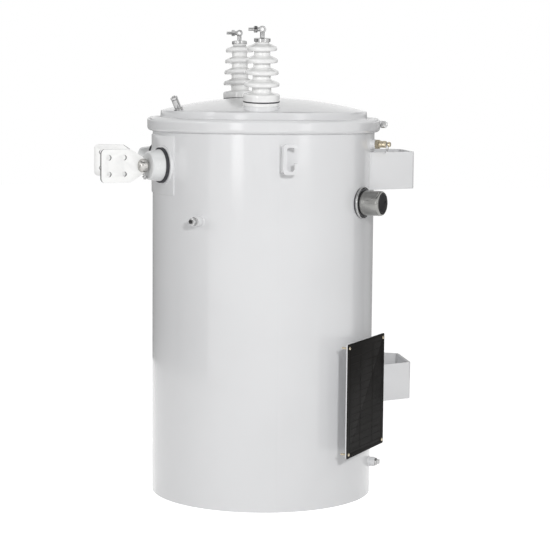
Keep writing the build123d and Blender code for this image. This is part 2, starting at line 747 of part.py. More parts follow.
os.makedirs("parts", exist_ok=True)
for name, solid in build_nodes().items():
    export_step(solid, f"parts/{name}.step")
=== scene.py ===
"""Looks of a pole mounted transformer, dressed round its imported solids.

Sizes are in millimetres and angles in degrees. An azimuth is counted from the low voltage side (-Y)
towards +X, and a height from the floor. Meshes are written in metres.
"""

import logging
from dataclasses import dataclass
from enum import Enum
from math import cos, pi, radians, sin, sqrt, tan
from typing import Callable, Sequence
import bmesh
import bpy
from mathutils import Matrix, Vector


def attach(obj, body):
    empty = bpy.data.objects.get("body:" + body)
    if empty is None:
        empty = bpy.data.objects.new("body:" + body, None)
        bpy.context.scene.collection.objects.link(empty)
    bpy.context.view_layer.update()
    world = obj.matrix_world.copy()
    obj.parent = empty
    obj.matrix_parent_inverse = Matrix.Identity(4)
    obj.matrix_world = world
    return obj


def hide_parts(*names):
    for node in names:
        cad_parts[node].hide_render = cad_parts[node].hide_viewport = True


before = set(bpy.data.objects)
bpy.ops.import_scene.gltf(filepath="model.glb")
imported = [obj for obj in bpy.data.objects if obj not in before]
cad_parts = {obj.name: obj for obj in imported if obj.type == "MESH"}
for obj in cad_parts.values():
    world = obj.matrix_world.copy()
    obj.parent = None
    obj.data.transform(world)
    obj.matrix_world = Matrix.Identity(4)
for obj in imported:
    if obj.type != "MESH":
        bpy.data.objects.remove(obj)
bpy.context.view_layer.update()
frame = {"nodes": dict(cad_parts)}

LOG = logging.getLogger("transformer")
MM = 0.001
BODY = "root"
TANK_R = 308.0
LV_AZIMUTH = 21.2
TAP_AZIMUTH = 142.0
NAME_AZIMUTH = 146.0
RELIEF_AZIMUTH = 155.0
SEED = 7
PAINTED_EDGE_SHADE = "painted_edge_shade"

Point2 = tuple[float, float]
Point3 = tuple[float, float, float]
Colour = tuple[float, float, float]
Mesh = bpy.types.Mesh
Object = bpy.types.Object
Material = bpy.types.Material
Node = bpy.types.Node
Socket = bpy.types.NodeSocket


class Side(Enum):
    """The two sides of the tank that carry a pair of bushings and a lifting lug."""

    RIGHT = 1
    LEFT = -1


class Slot(Enum):
    """Material slots of the record."""

    PAINT = "tank_paint"
    RUBBER = "gasket_rubber"
    TAP_FLANGE = "tap_flange"
    PORCELAIN = "porcelain"
    BUSHING = "bushing_body"
    PLATED = "plated_steel"
    TINNED = "tinned_pad"
    HUB = "hub_metal"
    CAP = "satin_cap"
    BRASS = "valve_brass"
    PLATE = "black_plate"


class Ends(Enum):
    """Which ends of a hexagon are chamfered."""

    OUTER = "outer"
    BOTH = "both"


# ---------------------------------------------------------------------------------------------------
# Places


def wall_place(azimuth: float, radius: float, height: float) -> Matrix:
    """Place facing straight out of the tank: x along the wall, y up, z outwards.

    Args:
        azimuth: Direction from the tank's axis.
        radius: Distance of the origin from the tank's axis.
        height: Height of the origin over the floor.

    Returns:
        The matrix from local metres to the model's metres.
    """
    turn = radians(azimuth)
    up = Vector((0.0, 0.0, 1.0))
    outwards = Vector((sin(turn), -cos(turn), 0.0))
    along = Vector((cos(turn), sin(turn), 0.0))
    place = Matrix((along, up, outwards)).transposed().to_4x4()
    place.translation = (outwards * radius + up * height) * MM
    return place


def moved(place: Matrix, x: float = 0.0, y: float = 0.0, z: float = 0.0) -> Matrix:
    """The place moved by these local distances."""
    return place @ Matrix.Translation(Vector((x, y, z)) * MM)


def lifted(height: float) -> Matrix:
    """The origin moved up local z."""
    return moved(Matrix(), z=height)


def turned(place: Matrix, angle: float, axis: str) -> Matrix:
    """The place turned about one of its own axes."""
    return place @ Matrix.Rotation(radians(angle), 4, axis)


def on_wall(azimuth: float, height: float, outline: Sequence[Point2], lift: float = 0.0) -> list[Vector]:
    """Lays a flat outline on the tank's round wall.

    Args:
        azimuth: Direction of the outline's origin.
        height: Height of the outline's origin.
        outline: Points along the wall and up.
        lift: Distance of the points from the wall.

    Returns:
        The points on the wall, in metres.
    """
    place = wall_place(azimuth, 0.0, height)
    radius = TANK_R + lift
    return [place @ (Vector((across, up, sqrt(radius**2 - across**2))) * MM) for across, up in outline]


def spokes(steps: int) -> list[Point2]:
    """Points evenly round a circle of radius 1."""
    return [(cos(2 * pi * i / steps), sin(2 * pi * i / steps)) for i in range(steps)]


def rounded(corners: Sequence[Point2], radii: Sequence[float], steps: int = 5) -> list[Point2]:
    """Rounds the inner corners of an open outline.

    Args:
        corners: Corner points of the outline.
        radii: One radius for each corner between the first and the last.
        steps: Points along each rounding.

    Returns:
        The points of the rounded outline.
    """
    points = [corners[0]]
    for before, corner, after, radius in zip(corners, corners[1:], corners[2:], radii):
        if radius <= 0:
            points.append(corner)
            continue
        here = Vector(corner)
        back = (Vector(before) - here).normalized()
        ahead = (Vector(after) - here).normalized()
        half = back.angle(ahead) / 2
        reach = radius / tan(half)
        middle = here + (back + ahead).normalized() * (radius / sin(half))
        start = here + back * reach - middle
        sweep = start.angle_signed(here + ahead * reach - middle)
        turns = (Matrix.Rotation(-sweep * i / steps, 2) for i in range(steps + 1))
        points += [tuple(middle + turn @ start) for turn in turns]
    points.append(corners[-1])
    return points


# ---------------------------------------------------------------------------------------------------
# Meshes


def plain(name: str, work: bmesh.types.BMesh, place: Matrix | None = None) -> Mesh:
    """Ends work on a shape.

    Args:
        name: Name of the mesh.
        work: The worked shape, which is used up.
        place: Where it goes.

    Returns:
        The shape as a plain mesh.
    """
    if place is not None:
        work.transform(place)
    mesh = bpy.data.meshes.new(name)
    work.to_mesh(mesh)
    work.free()
    return mesh


def merge(work: bmesh.types.BMesh, distance: float) -> None:
    """Merges points closer than this many metres and turns the faces outwards."""
    bmesh.ops.remove_doubles(work, verts=work.verts, dist=distance)
    bmesh.ops.recalc_face_normals(work, faces=work.faces)


def raw_mesh(name: str, points: Sequence, edges: Sequence = (), faces: Sequence = ()) -> Mesh:
    """Makes a mesh from bare points.

    Args:
        name: Name of the mesh.
        points: Its points, in metres.
        edges: Pairs of the points' numbers.
        faces: Loops of the points' numbers.

    Returns:
        The mesh.
    """
    mesh = bpy.data.meshes.new(name)
    mesh.from_pydata(points, edges, faces)
    return mesh


def skin(
    name: str, rows: Sequence[Sequence[Point3]], place: Matrix | None = None, capped: bool = False
) -> Mesh:
    """Joins each closed row of points to the next; a row of one point is a pole.

    Args:
        name: Name of the mesh.
        rows: The rows, in millimetres.
        place: Where the mesh goes.
        capped: Whether a flat face closes the first row and the last.

    Returns:
        The mesh, with its faces outwards.
    """
    work = bmesh.new()
    laid = [[work.verts.new([c * MM for c in point]) for point in row] for row in rows]
    for low, high in zip(laid, laid[1:]):
        count = max(len(low), len(high))
        for i in range(count):
            j = (i + 1) % count
            corners = [low[i % len(low)], low[j % len(low)], high[j % len(high)], high[i % len(high)]]
            work.faces.new(dict.fromkeys(corners))
    for row in (laid[0], laid[-1]) if capped else ():
        work.faces.new(row)
    merge(work, 1e-7)
    return plain(name, work, place)


def lathe(name: str, profile: Sequence[Point2], segments: int = 48, place: Matrix | None = None) -> Mesh:
    """Turns a profile about local z.

    Args:
        name: Name of the mesh.
        profile: Radius and height of each point. A ring closes on itself where first and last are equal.
        segments: Faces round the axis.
        place: Where the mesh goes.

    Returns:
        The turned mesh.
    """
    ways = spokes(segments)
    rows = [[(r * x, r * y, z) for x, y in ways] if r > 0 else [(0.0, 0.0, z)] for r, z in profile]
    return skin(name, rows, place)


def rod(
    name: str,
    radius: float,
    low: float,
    high: float,
    edges: Point2,
    steps: int = 3,
    segments: int = 32,
    place: Matrix | None = None,
) -> Mesh:
    """Round bar or disc on local z with eased ends.

    Args:
        name: Name of the mesh.
        radius: Its radius.
        low: Where it starts.
        high: Where it ends.
        edges: Ease of its two ends.
        steps: Steps of each ease.
        segments: Faces round it.
        place: Where the mesh goes.

    Returns:
        The mesh.
    """
    corners = [(0.0, low), (radius, low), (radius, high), (0.0, high)]
    return lathe(name, rounded(corners, edges, steps), segments, place)


def hexagon(name: str, across: float, height: float, ends: Ends, place: Matrix | None = None) -> Mesh:
    """Hexagon head or nut whose corners are cut back by the usual chamfer cone.

    Args:
        name: Name of the mesh.
        across: Size across the flats.
        height: Height along local z, from zero.
        ends: Which ends are chamfered.
        place: Where the mesh goes.

    Returns:
        The hexagon's mesh.
    """
    per_side = 8
    angles = [radians(60.0 * i / per_side) for i in range(6 * per_side)]
    reach = [across / 2 / cos(angle % radians(60) - radians(30)) for angle in angles]
    land = 0.95 * across / 2
    drops = [(r - land) * tan(radians(30)) for r in reach]

    def row(radii: Sequence[float], heights: Sequence[float]) -> list[Point3]:
        """One row of points round the hexagon."""
        return [(r * cos(a), r * sin(a), h) for r, h, a in zip(radii, heights, angles)]

    lands, level, top = ([value] * len(angles) for value in (land, 0.0, height))
    foot = [row(lands, level), row(reach, drops)] if ends is Ends.BOTH else [row(reach, level)]
    head = [row(reach, [height - drop for drop in drops]), row(lands, top)]
    return skin(name, [[(0.0, 0.0, 0.0)], *foot, *head, [(0.0, 0.0, height)]], place)


def slab(name: str, size: Point3, edge: float, place: Matrix | None = None) -> Mesh:
    """Low bar on local z = 0 whose upper edges are eased.

    Args:
        name: Name of the mesh.
        size: Length along x, width along y and height.
        edge: Ease of the upper edges.
        place: Where the mesh goes.

    Returns:
        The bar's mesh.
    """
    x, y, height = size
    ways = ((1, 1), (-1, 1), (-1, -1), (1, -1))
    levels = ((0.0, 0.0), (0.0, height - edge), (edge, height))
    rows = [[(a * (x / 2 - inset), b * (y / 2 - inset), z) for a, b in ways] for inset, z in levels]
    return skin(name, rows, place, capped=True)


def path_mesh(name: str, runs: Sequence[Sequence[Vector]]) -> Mesh:
    """Loose edges along runs of points.

    Args:
        name: Name of the mesh.
        runs: Points of each run, in metres. A run that ends at its start is closed.

    Returns:
        The mesh of edges.
    """
    points, edges = [], []
    for run in runs:
        closed = (run[0] - run[-1]).length < 1e-6
        first, count = len(points), len(run) - closed
        points += run[:count]
        edges += [(first + i, first + (i + 1) % count) for i in range(count if closed else count - 1)]
    return raw_mesh(name, points, edges)


def joined(
    name: str, meshes: Sequence[Mesh], place: Matrix | None = None, merge_within: float = 0.0
) -> Mesh:
    """One mesh from several, which are used up.

    Args:
        name: Name of the new mesh.
        meshes: Meshes to join.
        place: Where the joined mesh goes.
        merge_within: Distance in metres within which points are merged, or zero.

    Returns:
        The joined mesh.
    """
    work = bmesh.new()
    for mesh in meshes:
        work.from_mesh(mesh)
        bpy.data.meshes.remove(mesh)
    if merge_within:
        merge(work, merge_within)
    return plain(name, work, place)


def shown(name: str, data: bpy.types.ID) -> Object:
    """Puts a mesh, lamp or camera into the scene.

    Args:
        name: Name of the object.
        data: What it holds.

    Returns:
        The object.
    """
    thing = bpy.data.objects.new(name, data)
    bpy.context.scene.collection.objects.link(thing)
    return thing


def evaluated(mesh: Mesh, prepare: Callable[[Object], None]) -> Mesh:
    """Runs modifiers on a mesh and gives the plain result.

    Args:
        mesh: Mesh that the modifiers work on, which is used up.
        prepare: Function that adds the modifiers to the object that holds it.

    Returns:
        The plain mesh.
    """
    holder = shown(mesh.name, mesh)
    prepare(holder)
    graph = bpy.context.evaluated_depsgraph_get()
    result = bpy.data.meshes.new_from_object(holder.evaluated_get(graph), depsgraph=graph)
    result.name = mesh.name
    holder.modifiers.clear()
    bpy.data.objects.remove(holder)
    bpy.data.meshes.remove(mesh)
    return result


# ---------------------------------------------------------------------------------------------------
# Geometry Nodes recipes


class Graph:
    """A node tree with short ways to add and link its nodes."""

    def __init__(self, tree: bpy.types.NodeTree) -> None:
        """Keeps the tree."""
        self.tree = tree

    def feed(self, socket: Socket, value: object) -> None:
        """Links a source socket or a node's first output to a socket, or sets its value.

        Args:
            socket: The socket that is fed.
            value: A socket, a node or a plain value.
        """
        source = value.outputs[0] if isinstance(value, Node) else value
        if isinstance(source, Socket):
            self.tree.links.new(source, socket)
        else:
            socket.default_value = source

    def node(self, kind: str, inputs: dict[str | int, object] | None = None, **settings: object) -> Node:
        """Adds a node.

        Args:
            kind: Type of the node.
            inputs: What feeds each input, by its name or number.
            settings: The node's own properties.

        Returns:
            The node.
        """
        node = self.tree.nodes.new(kind)
        for name, value in settings.items():
            setattr(node, name, value)
        for name, value in (inputs or {}).items():
            self.feed(node.inputs[name], value)
        return node

    def maths(self, operation: str, first: object, second: object = 0.0) -> Socket:
        """Result of a maths node."""
        return self.node("ShaderNodeMath", {0: first, 1: second}, operation=operation).outputs[0]

    def times(self, first: object, second: object) -> Socket:
        """Product of two values, nodes or sockets."""
        return self.maths("MULTIPLY", first, second)

    def seen(self, unseen: float, seen: float) -> Socket:
        """Strength that is one value as light and another where it is seen or mirrored.

        Args:
            unseen: Strength of the light that falls on the object.
            seen: Strength that the camera, metal and glass show.

        Returns:
            The strength's socket.
        """
        path = self.node("ShaderNodeLightPath").outputs
        share = self.maths("MAXIMUM", path["Is Camera Ray"], path["Is Glossy Ray"])
        share = self.maths("MAXIMUM", share, path["Is Transmission Ray"])
        return self.node("ShaderNodeMapRange", {"Value": share, "To Min": unseen, "To Max": seen}).outputs[0]


class Recipe(Graph):
    """A Geometry Nodes tree with named inputs that turns one mesh into another."""

    def __init__(self, title: str, *sizes: str) -> None:
        """Starts the tree.

        Args:
            title: Name of the tree.
            sizes: Names of its sizes.
        """
        super().__init__(bpy.data.node_groups.new(title, "GeometryNodeTree"))
        for way in ("INPUT", "OUTPUT"):
            self.tree.interface.new_socket("Geometry", in_out=way, socket_type="NodeSocketGeometry")
        self.start = self.tree.nodes.new("NodeGroupInput")
        self.add_input("Material", "Material")
        for name in sizes:
            self.add_input(name, "Int" if name in ("Count", "Seed") else "Float")

    def add_input(self, name: str, kind: str) -> None:
        """Adds a named input of this kind of socket."""
        self.tree.interface.new_socket(name, in_out="INPUT", socket_type=f"NodeSocket{kind}")

    def given(self, *names: str) -> list[Socket]:
        """The named inputs' sockets inside the tree."""
        return [self.start.outputs[name] for name in names]

    def vector(self, x: object = 0.0, y: object = 0.0, z: object = 0.0) -> Node:
        """Adds a vector made of three values, nodes or sockets."""
        return self.node("ShaderNodeCombineXYZ", {"X": x, "Y": y, "Z": z})

    def swept(self, curve: Node, radius: Socket, sides: int) -> Node:
        """A round profile swept along a curve.

        Args:
            curve: The curve.
            radius: Radius of the profile.
            sides: Sides of the profile.

        Returns:
            The node that gives the swept mesh.
        """
        profile = self.node("GeometryNodeCurvePrimitiveCircle", {"Resolution": sides, "Radius": radius})
        inputs = {"Curve": curve, "Profile Curve": profile, "Fill Caps": True}
        return self.node("GeometryNodeCurveToMesh", inputs)

    def copies(self, points: Node, **inputs: object) -> Node:
        """Copies of the mesh that comes in, on these points."""
        inputs |= {"Points": points, "Instance": self.start.outputs["Geometry"]}
        return self.node("GeometryNodeInstanceOnPoints", inputs)

    def close(self, geometry: Node, smooth: bool = True) -> None:
        """Ends the tree in real geometry.

        Args:
            geometry: The last node of the shape.
            smooth: Whether its faces are shaded smooth.
        """
        real = self.node("GeometryNodeRealizeInstances", {"Geometry": geometry})
        shaded = self.node("GeometryNodeSetShadeSmooth", {"Geometry": real, "Shade Smooth": smooth})
        inputs = {"Geometry": shaded, "Material": self.start.outputs["Material"]}
        self.node("NodeGroupOutput", {0: self.node("GeometryNodeSetMaterial", inputs)})

    def run(self, mesh: Mesh, material: Material, values: dict[str, float | int]) -> Mesh:
        """Runs the tree once.

        Args:
            mesh: Mesh that goes in, which is used up.
            material: Material of the result.
            values: Value of each named input.

        Returns:
            The plain mesh that comes out.
        """
        items = self.tree.interface.items_tree
        sockets = {item.name: item.identifier for item in items if item.in_out == "INPUT"}

        def prepare(holder: Object) -> None:
            """Adds the tree with its inputs set.

            Args:
                holder: Object that holds the mesh.
            """
            modifier = holder.modifiers.new(self.tree.name, "NODES")
            modifier.node_group = self.tree
            for name, value in {"Material": material, **values}.items():
                modifier[sockets[name]] = value

        return evaluated(mesh, prepare)


class ThreadRecipe(Recipe):
    """Screw thread: a ridge that winds round local z, joined to the shank that comes in."""

    RIDGE_SHARE = 0.45
    STEPS_A_TURN = 20

    def __init__(self) -> None:
        """Builds the tree."""
        super().__init__("screw_thread", "Turns", "Pitch", "Radius", "Start")
        turns, pitch, radius, start = self.given("Turns", "Pitch", "Radius", "Start")
        size = {"Start Radius": radius, "End Radius": radius, "Height": self.times(turns, pitch)}
        inputs = {"Resolution": self.STEPS_A_TURN, "Rotations": turns, **size}
        winding = self.node("GeometryNodeCurveSpiral", inputs)
        ridge = self.swept(winding, self.times(pitch, self.RIDGE_SHARE), 3)
        inputs = {"Geometry": ridge, "Translation": self.vector(z=start)}
        raised = self.node("GeometryNodeTransform", inputs)
        both = self.node("GeometryNodeJoinGeometry")
        for part in (raised.outputs[0], self.start.outputs["Geometry"]):
            self.tree.links.new(part, both.inputs[0])
        self.close(both, smooth=False)


class WeldRecipe(Recipe):
    """Weld bead laid along loose edges: a round run whose ripples overlap like scales."""

    RIPPLE_STEPS = 5
    RIPPLE_DEPTH = 0.16
    RIPPLE_SCATTER = 0.05
    SIDES = 10

    def __init__(self) -> None:
        """Builds the tree."""
        super().__init__("weld_bead", "Ripple", "Size", "Seed")
        ripple, size, seed = self.given("Ripple", "Size", "Seed")
        line = self.node("GeometryNodeMeshToCurve", {"Mesh": self.start.outputs["Geometry"]})
        inputs = {"Curve": line, "Length": self.maths("DIVIDE", ripple, self.RIPPLE_STEPS)}
        fine = self.node("GeometryNodeResampleCurve", inputs, mode="LENGTH")
        index = self.node("GeometryNodeInputIndex")
        phase = self.maths("DIVIDE", self.maths("MODULO", index, self.RIPPLE_STEPS), self.RIPPLE_STEPS)
        scale = self.maths("SUBTRACT", 1.0, self.times(phase, self.RIPPLE_DEPTH))
        which = self.maths("FLOOR", self.maths("DIVIDE", index, self.RIPPLE_STEPS))
        inputs = {"ID": which, "Seed": seed, 2: 1.0 - self.RIPPLE_SCATTER, 3: 1.0 + self.RIPPLE_SCATTER}
        scatter = self.node("FunctionNodeRandomValue", inputs, data_type="FLOAT").outputs[1]
        inputs = {"Curve": fine, "Radius": self.times(scale, scatter)}
        self.close(self.swept(self.node("GeometryNodeSetCurveRadius", inputs), size, self.SIDES))


class RowRecipe(Recipe):
    """Even rows of the item that comes in, down local y."""

    def __init__(self) -> None:
        """Builds the tree."""
        super().__init__("rows", "Count", "Pitch")
        count, pitch = self.given("Count", "Pitch")
        step = self.vector(y=self.times(pitch, -1.0))
        line = self.node("GeometryNodeMeshLine", {"Count": count, "Offset": step})
        self.close(self.copies(line), smooth=False)


class RingRecipe(Recipe):
    """Copies of the item that comes in, evenly round local z, each turned to face outwards."""

    def __init__(self) -> None:
        """Builds the tree."""
        super().__init__("ring_of_items", "Count", "Radius")
        count, radius = self.given("Count", "Radius")
        ring = self.node("GeometryNodeMeshCircle", {"Vertices": count, "Radius": radius})
        share = self.times(self.node("GeometryNodeInputIndex"), 2 * pi)
        self.close(self.copies(ring, Rotation=self.vector(z=self.maths("DIVIDE", share, count))))


class ShedRecipe(Recipe):
    """Insulator sheds: the shed that comes in is stacked up local z, and the stack tapers to a waist."""

    WAIST_START = 0.915
    WAIST_END = 0.965
    MERGE_WITHIN = 1e-5

    def __init__(self) -> None:
        """Builds the tree."""
        names = ("Count", "Pitch", "Foot scale", "Top scale", "Waist")
        super().__init__("insulator_sheds", *names)
        count, pitch, foot_scale, top_scale, waist = self.given(*names)
        line = self.node("GeometryNodeMeshLine", {"Count": count, "Offset": self.vector(z=pitch)})
        real = self.node("GeometryNodeRealizeInstances", {"Geometry": self.copies(line)})
        x, y, z = self.node("ShaderNodeSeparateXYZ", {0: self.node("GeometryNodeInputPosition")}).outputs
        share = self.maths("DIVIDE", z, self.times(count, pitch))
        fall = self.times(share, self.maths("SUBTRACT", top_scale, foot_scale))
        limits = {"From Min": self.WAIST_START, "From Max": self.WAIST_END, "To Min": 1.0, "To Max": waist}
        smooth = {"interpolation_type": "SMOOTHSTEP"}
        narrowing = self.node("ShaderNodeMapRange", {"Value": share, **limits}, **smooth)
        scale = self.times(self.maths("ADD", foot_scale, fall), narrowing)
        tapered = self.vector(self.times(x, scale), self.times(y, scale), z)
        shaped = self.node("GeometryNodeSetPosition", {"Geometry": real, "Position": tapered})
        inputs = {"Geometry": shaped, "Distance": self.MERGE_WITHIN}
        self.close(self.node("GeometryNodeMergeByDistance", inputs))


# ---------------------------------------------------------------------------------------------------
# Finishes


class Sheet(Graph):
    """Node sheet of one material, with short ways to add what the finishes are made of."""

    def __init__(self, name: str, colour: Colour, roughness: float, metallic: float = 0.0) -> None:
        """Starts a material with its plain values on the shader itself.

        Args:
            name: Name of the material.
            colour: Its colour.
            roughness: Its roughness.
            metallic: Its share of metal.
        """
        self.material = bpy.data.materials.new(name)
        self.material.use_nodes = True
        super().__init__(self.material.node_tree)
        self.shader = self.tree.nodes["Principled BSDF"]
        self.place = self.node("ShaderNodeTexCoord").outputs["Object"]
        self.give({"Base Color": (*colour, 1.0), "Metallic": metallic, "Roughness": roughness})

    def give(self, inputs: dict[str, object]) -> None:
        """Sets values on the shader's own inputs or links patterns to them."""
        for name, value in inputs.items():
            self.feed(self.shader.inputs[name], value)

    def mapped(self, turn: float, stretch: Point3) -> Socket:
        """Object coordinates turned about the tank's axis and stretched."""
        inputs = {"Vector": self.place, "Rotation": (0.0, 0.0, -radians(turn)), "Scale": stretch}
        return self.node("ShaderNodeMapping", inputs).outputs["Vector"]

    def noise(self, scale: float, detail: float = 2.0, place: Socket | None = None) -> Socket:
        """Soft noise of this scale per metre."""
        inputs = {"Scale": scale, "Detail": detail, "Vector": place or self.place}
        return self.node("ShaderNodeTexNoise", inputs).outputs["Fac"]

    def spread(self, value: Socket, low: float, high: float, start: float = 0.3, end: float = 0.7) -> Socket:
        """Maps a value from start..end to low..high."""
        limits = {"From Min": start, "From Max": end, "To Min": low, "To Max": high}
        return self.node("ShaderNodeMapRange", {"Value": value, **limits}).outputs["Result"]

    def blend(self, share: Socket, first: Colour, second: Colour) -> Socket:
        """Colour between two.

        Args:
            share: Share of the second colour, from 0 to 1.
            first: Colour at 0.
            second: Colour at 1.

        Returns:
            The colour's socket.
        """
        node = self.node("ShaderNodeValToRGB", {"Fac": share})
        for element, colour in zip(node.color_ramp.elements, (first, second)):
            element.color = (*colour, 1.0)
        return node.outputs["Color"]

    def marked(self, attribute: str) -> Socket:
        """Share from 0 to 1 that a mesh keeps in an attribute of its faces."""
        return self.node("ShaderNodeAttribute", attribute_name=attribute).outputs["Fac"]

    def toned(self, colour: Socket, share: Socket, other: Colour) -> Socket:
        """Colour that turns into another by a share from 0 to 1."""
        inputs = {"Factor": share, "A": colour, "B": (*other, 1.0)}
        return self.node("ShaderNodeMix", inputs, data_type="RGBA").outputs["Result"]

    def height(self) -> Socket:
        """Height over the floor, in metres."""
        return self.node("ShaderNodeSeparateXYZ", {0: self.place}).outputs["Z"]

    def bump(self, *layers: tuple[Socket, float, float]) -> None:
        """Bumps the surface.

        Args:
            layers: Pattern, strength and depth in metres of each layer, the lowest first.
        """
        below = {}
        for pattern, strength, depth in layers:
            inputs = {"Height": pattern, "Strength": strength, "Distance": depth, **below}
            below = {"Normal": self.node("ShaderNodeBump", inputs)}
        self.give(below)


@dataclass(frozen=True)
class Finish:
    """A finish of one of the record's slots."""

    slot: Slot
    colour: Colour
    roughness: float
    metallic: float = 0.0
    azimuth: float = 0.0

    @property
    def title(self) -> str:
        """Name of the material."""
        return f"{self.slot.value}_{round(self.azimuth)}" if self.azimuth else self.slot.value

    def build(self) -> Material:
        """Makes the material."""
        sheet = Sheet(self.title, self.colour, self.roughness, self.metallic)
        self.detail(sheet)
        return sheet.material

    def detail(self, sheet: Sheet) -> None:
        """Adds what is special to the finish."""
        raise NotImplementedError

    def shade(self, factor: float) -> Colour:
        """The finish's colour made lighter or darker."""
        return tuple(min(1.0, c * factor) for c in self.colour)

    def drift(self, sheet: Sheet, pattern: Socket, dark: float, light: float) -> Socket:
        """The finish's colour, drifting between two shades by a pattern."""
        return sheet.blend(sheet.spread(pattern, 0.0, 1.0), self.shade(dark), self.shade(light))

    def gloss(self, sheet: Sheet, pattern: Socket, less: float, more: float) -> Socket:
        """The finish's roughness, from this much less to this much more by a pattern."""
        return sheet.spread(pattern, self.roughness - less, self.roughness + more)


@dataclass(frozen=True)
class Enamel(Finish):
    """Gloss enamel on steel: faint orange peel, slow waves of the rolled sheet, dust towards the foot."""

    dust_height: float = 0.05
    dust: float = 0.2

    def detail(self, sheet: Sheet) -> None:
        """Adds the colour drift, the uneven gloss and the peel.

        Args:
            sheet: The material's sheet.
        """
        foot = sheet.spread(sheet.height(), 1.0, 0.0, 0.0, self.dust_height)
        dusty = sheet.times(foot, sheet.spread(sheet.noise(28.0, 4.0), 0.0, 1.0))
        waves = sheet.noise(9.0, 1.0, sheet.mapped(0.0, (1.0, 1.0, 0.25)))
        rough = sheet.spread(dusty, self.roughness, self.roughness + self.dust, 0.0, 1.0)
        sheet.give({"Base Color": self.drift(sheet, sheet.noise(3.5, 3.0), 0.975, 1.02), "Roughness": rough})
        sheet.give({"Coat Weight": 0.9, "Coat Roughness": 0.12})
        sheet.bump((waves, 0.12, 0.004), (sheet.noise(420.0, 1.0), 0.05, 0.0004))


@dataclass(frozen=True)
class Rubber(Finish):
    """Moulded gasket rubber with a dull, finely pitted skin."""

    def detail(self, sheet: Sheet) -> None:
        """Adds the bloom and the pits.

        Args:
            sheet: The material's sheet.
        """
        bloom = sheet.noise(60.0, 3.0)
        sheet.give({"Base Color": self.drift(sheet, bloom, 0.8, 1.5)})
        sheet.give({"Roughness": self.gloss(sheet, bloom, 0.08, 0.08)})
        sheet.bump((sheet.noise(1400.0, 2.0), 0.25, 0.0003))


@dataclass(frozen=True)
class Glaze(Finish):
    """Fired glaze: deep gloss that pools a little, with faint specks."""

    def detail(self, sheet: Sheet) -> None:
        """Adds the pooling, the specks and the glassy coat.

        Args:
            sheet: The material's sheet.
        """
        pool = sheet.noise(26.0, 2.0)
        sheet.give({"Base Color": self.drift(sheet, pool, 0.965, 1.015)})
        sheet.give({"Roughness": self.gloss(sheet, sheet.noise(90.0, 3.0), 0.0, 0.06)})
        sheet.give({"Coat Weight": 0.6, "Coat Roughness": 0.04})
        sheet.bump((pool, 0.10, 0.0012), (sheet.noise(900.0, 1.0), 0.03, 0.0002))


@dataclass(frozen=True)
class TurnedMetal(Finish):
    """Metal turned or brushed round an axis that points out of the tank at the finish's azimuth."""

    line: float = 2600.0
    depth: float = 0.12

    def detail(self, sheet: Sheet) -> None:
        """Adds turned lines, a slow stain and uneven gloss.

        Args:
            sheet: The material's sheet.
        """
        lines = sheet.noise(1.0, 3.0, sheet.mapped(self.azimuth, (14.0, self.line, 14.0)))
        sheet.give({"Base Color": self.drift(sheet, sheet.noise(38.0, 4.0), 0.86, 1.06)})
        sheet.give({"Roughness": self.gloss(sheet, lines, 0.07, 0.10)})
        sheet.bump((lines, self.depth, 0.0003))


@dataclass(frozen=True)
class PlatedMetal(Finish):
    """Bright plating: fine grain, dull patches and painted shade on the edge faces that a mesh marks."""

    patches: float = 0.26
    painted_edge_shade: float = 1.0

    def detail(self, sheet: Sheet) -> None:
        """Adds the grain, the patches and the painted shade on the marked edge faces.

        Args:
            sheet: The material's sheet.
        """
        patch = sheet.noise(85.0, 4.0)
        colour = self.drift(sheet, patch, 1.0 - 0.7 * self.patches, 1.0 + 0.3 * self.patches)
        # Painted shade: marked edge faces turn darker, standing in for the shade and dark reflections on the
        # edges.
        if self.painted_edge_shade < 1.0:
            colour = sheet.toned(colour, sheet.marked(PAINTED_EDGE_SHADE), self.shade(self.painted_edge_shade))
        sheet.give({"Base Color": colour, "Roughness": self.gloss(sheet, patch, 0.08, 0.14)})
        sheet.bump((sheet.noise(1800.0, 2.0), 0.10, 0.0002))


@dataclass(frozen=True)
class Anodised(Finish):
    """Dark sheet with a fine brushed grain along the plate."""

    specular: float = 0.03

    def detail(self, sheet: Sheet) -> None:
        """Adds the brushed grain and a thin bloom.

        Args:
            sheet: The material's sheet.
        """
        grain = sheet.noise(1.0, 3.0, sheet.mapped(self.azimuth, (12.0, 12.0, 2400.0)))
        sheet.give({"Base Color": self.drift(sheet, sheet.noise(14.0, 3.0), 0.85, 1.25)})
        sheet.give({"Roughness": self.gloss(sheet, grain, 0.06, 0.10), "Specular IOR Level": self.specular})
        sheet.bump((grain, 0.08, 0.0002))


PAINT = Enamel(Slot.PAINT, (0.740, 0.743, 0.752), 0.34)
RUBBER = Rubber(Slot.RUBBER, (0.03, 0.03, 0.035), 0.62)
PORCELAIN = Glaze(Slot.PORCELAIN, (0.88, 0.88, 0.875), 0.10)
BUSHING = Glaze(Slot.BUSHING, (0.78, 0.79, 0.79), 0.22)
PLATED = PlatedMetal(Slot.PLATED, (0.50, 0.50, 0.50), 0.16, 1.0)
# Painted shade: the spade's marked edge faces are darkened to stand in for their shade and dark reflections.
TINNED = PlatedMetal(Slot.TINNED, (0.93, 0.93, 0.92), 0.42, 0.2, patches=0.05, painted_edge_shade=0.16)
CAP = TurnedMetal(Slot.CAP, (0.31, 0.31, 0.30), 0.16, 1.0, TAP_AZIMUTH)
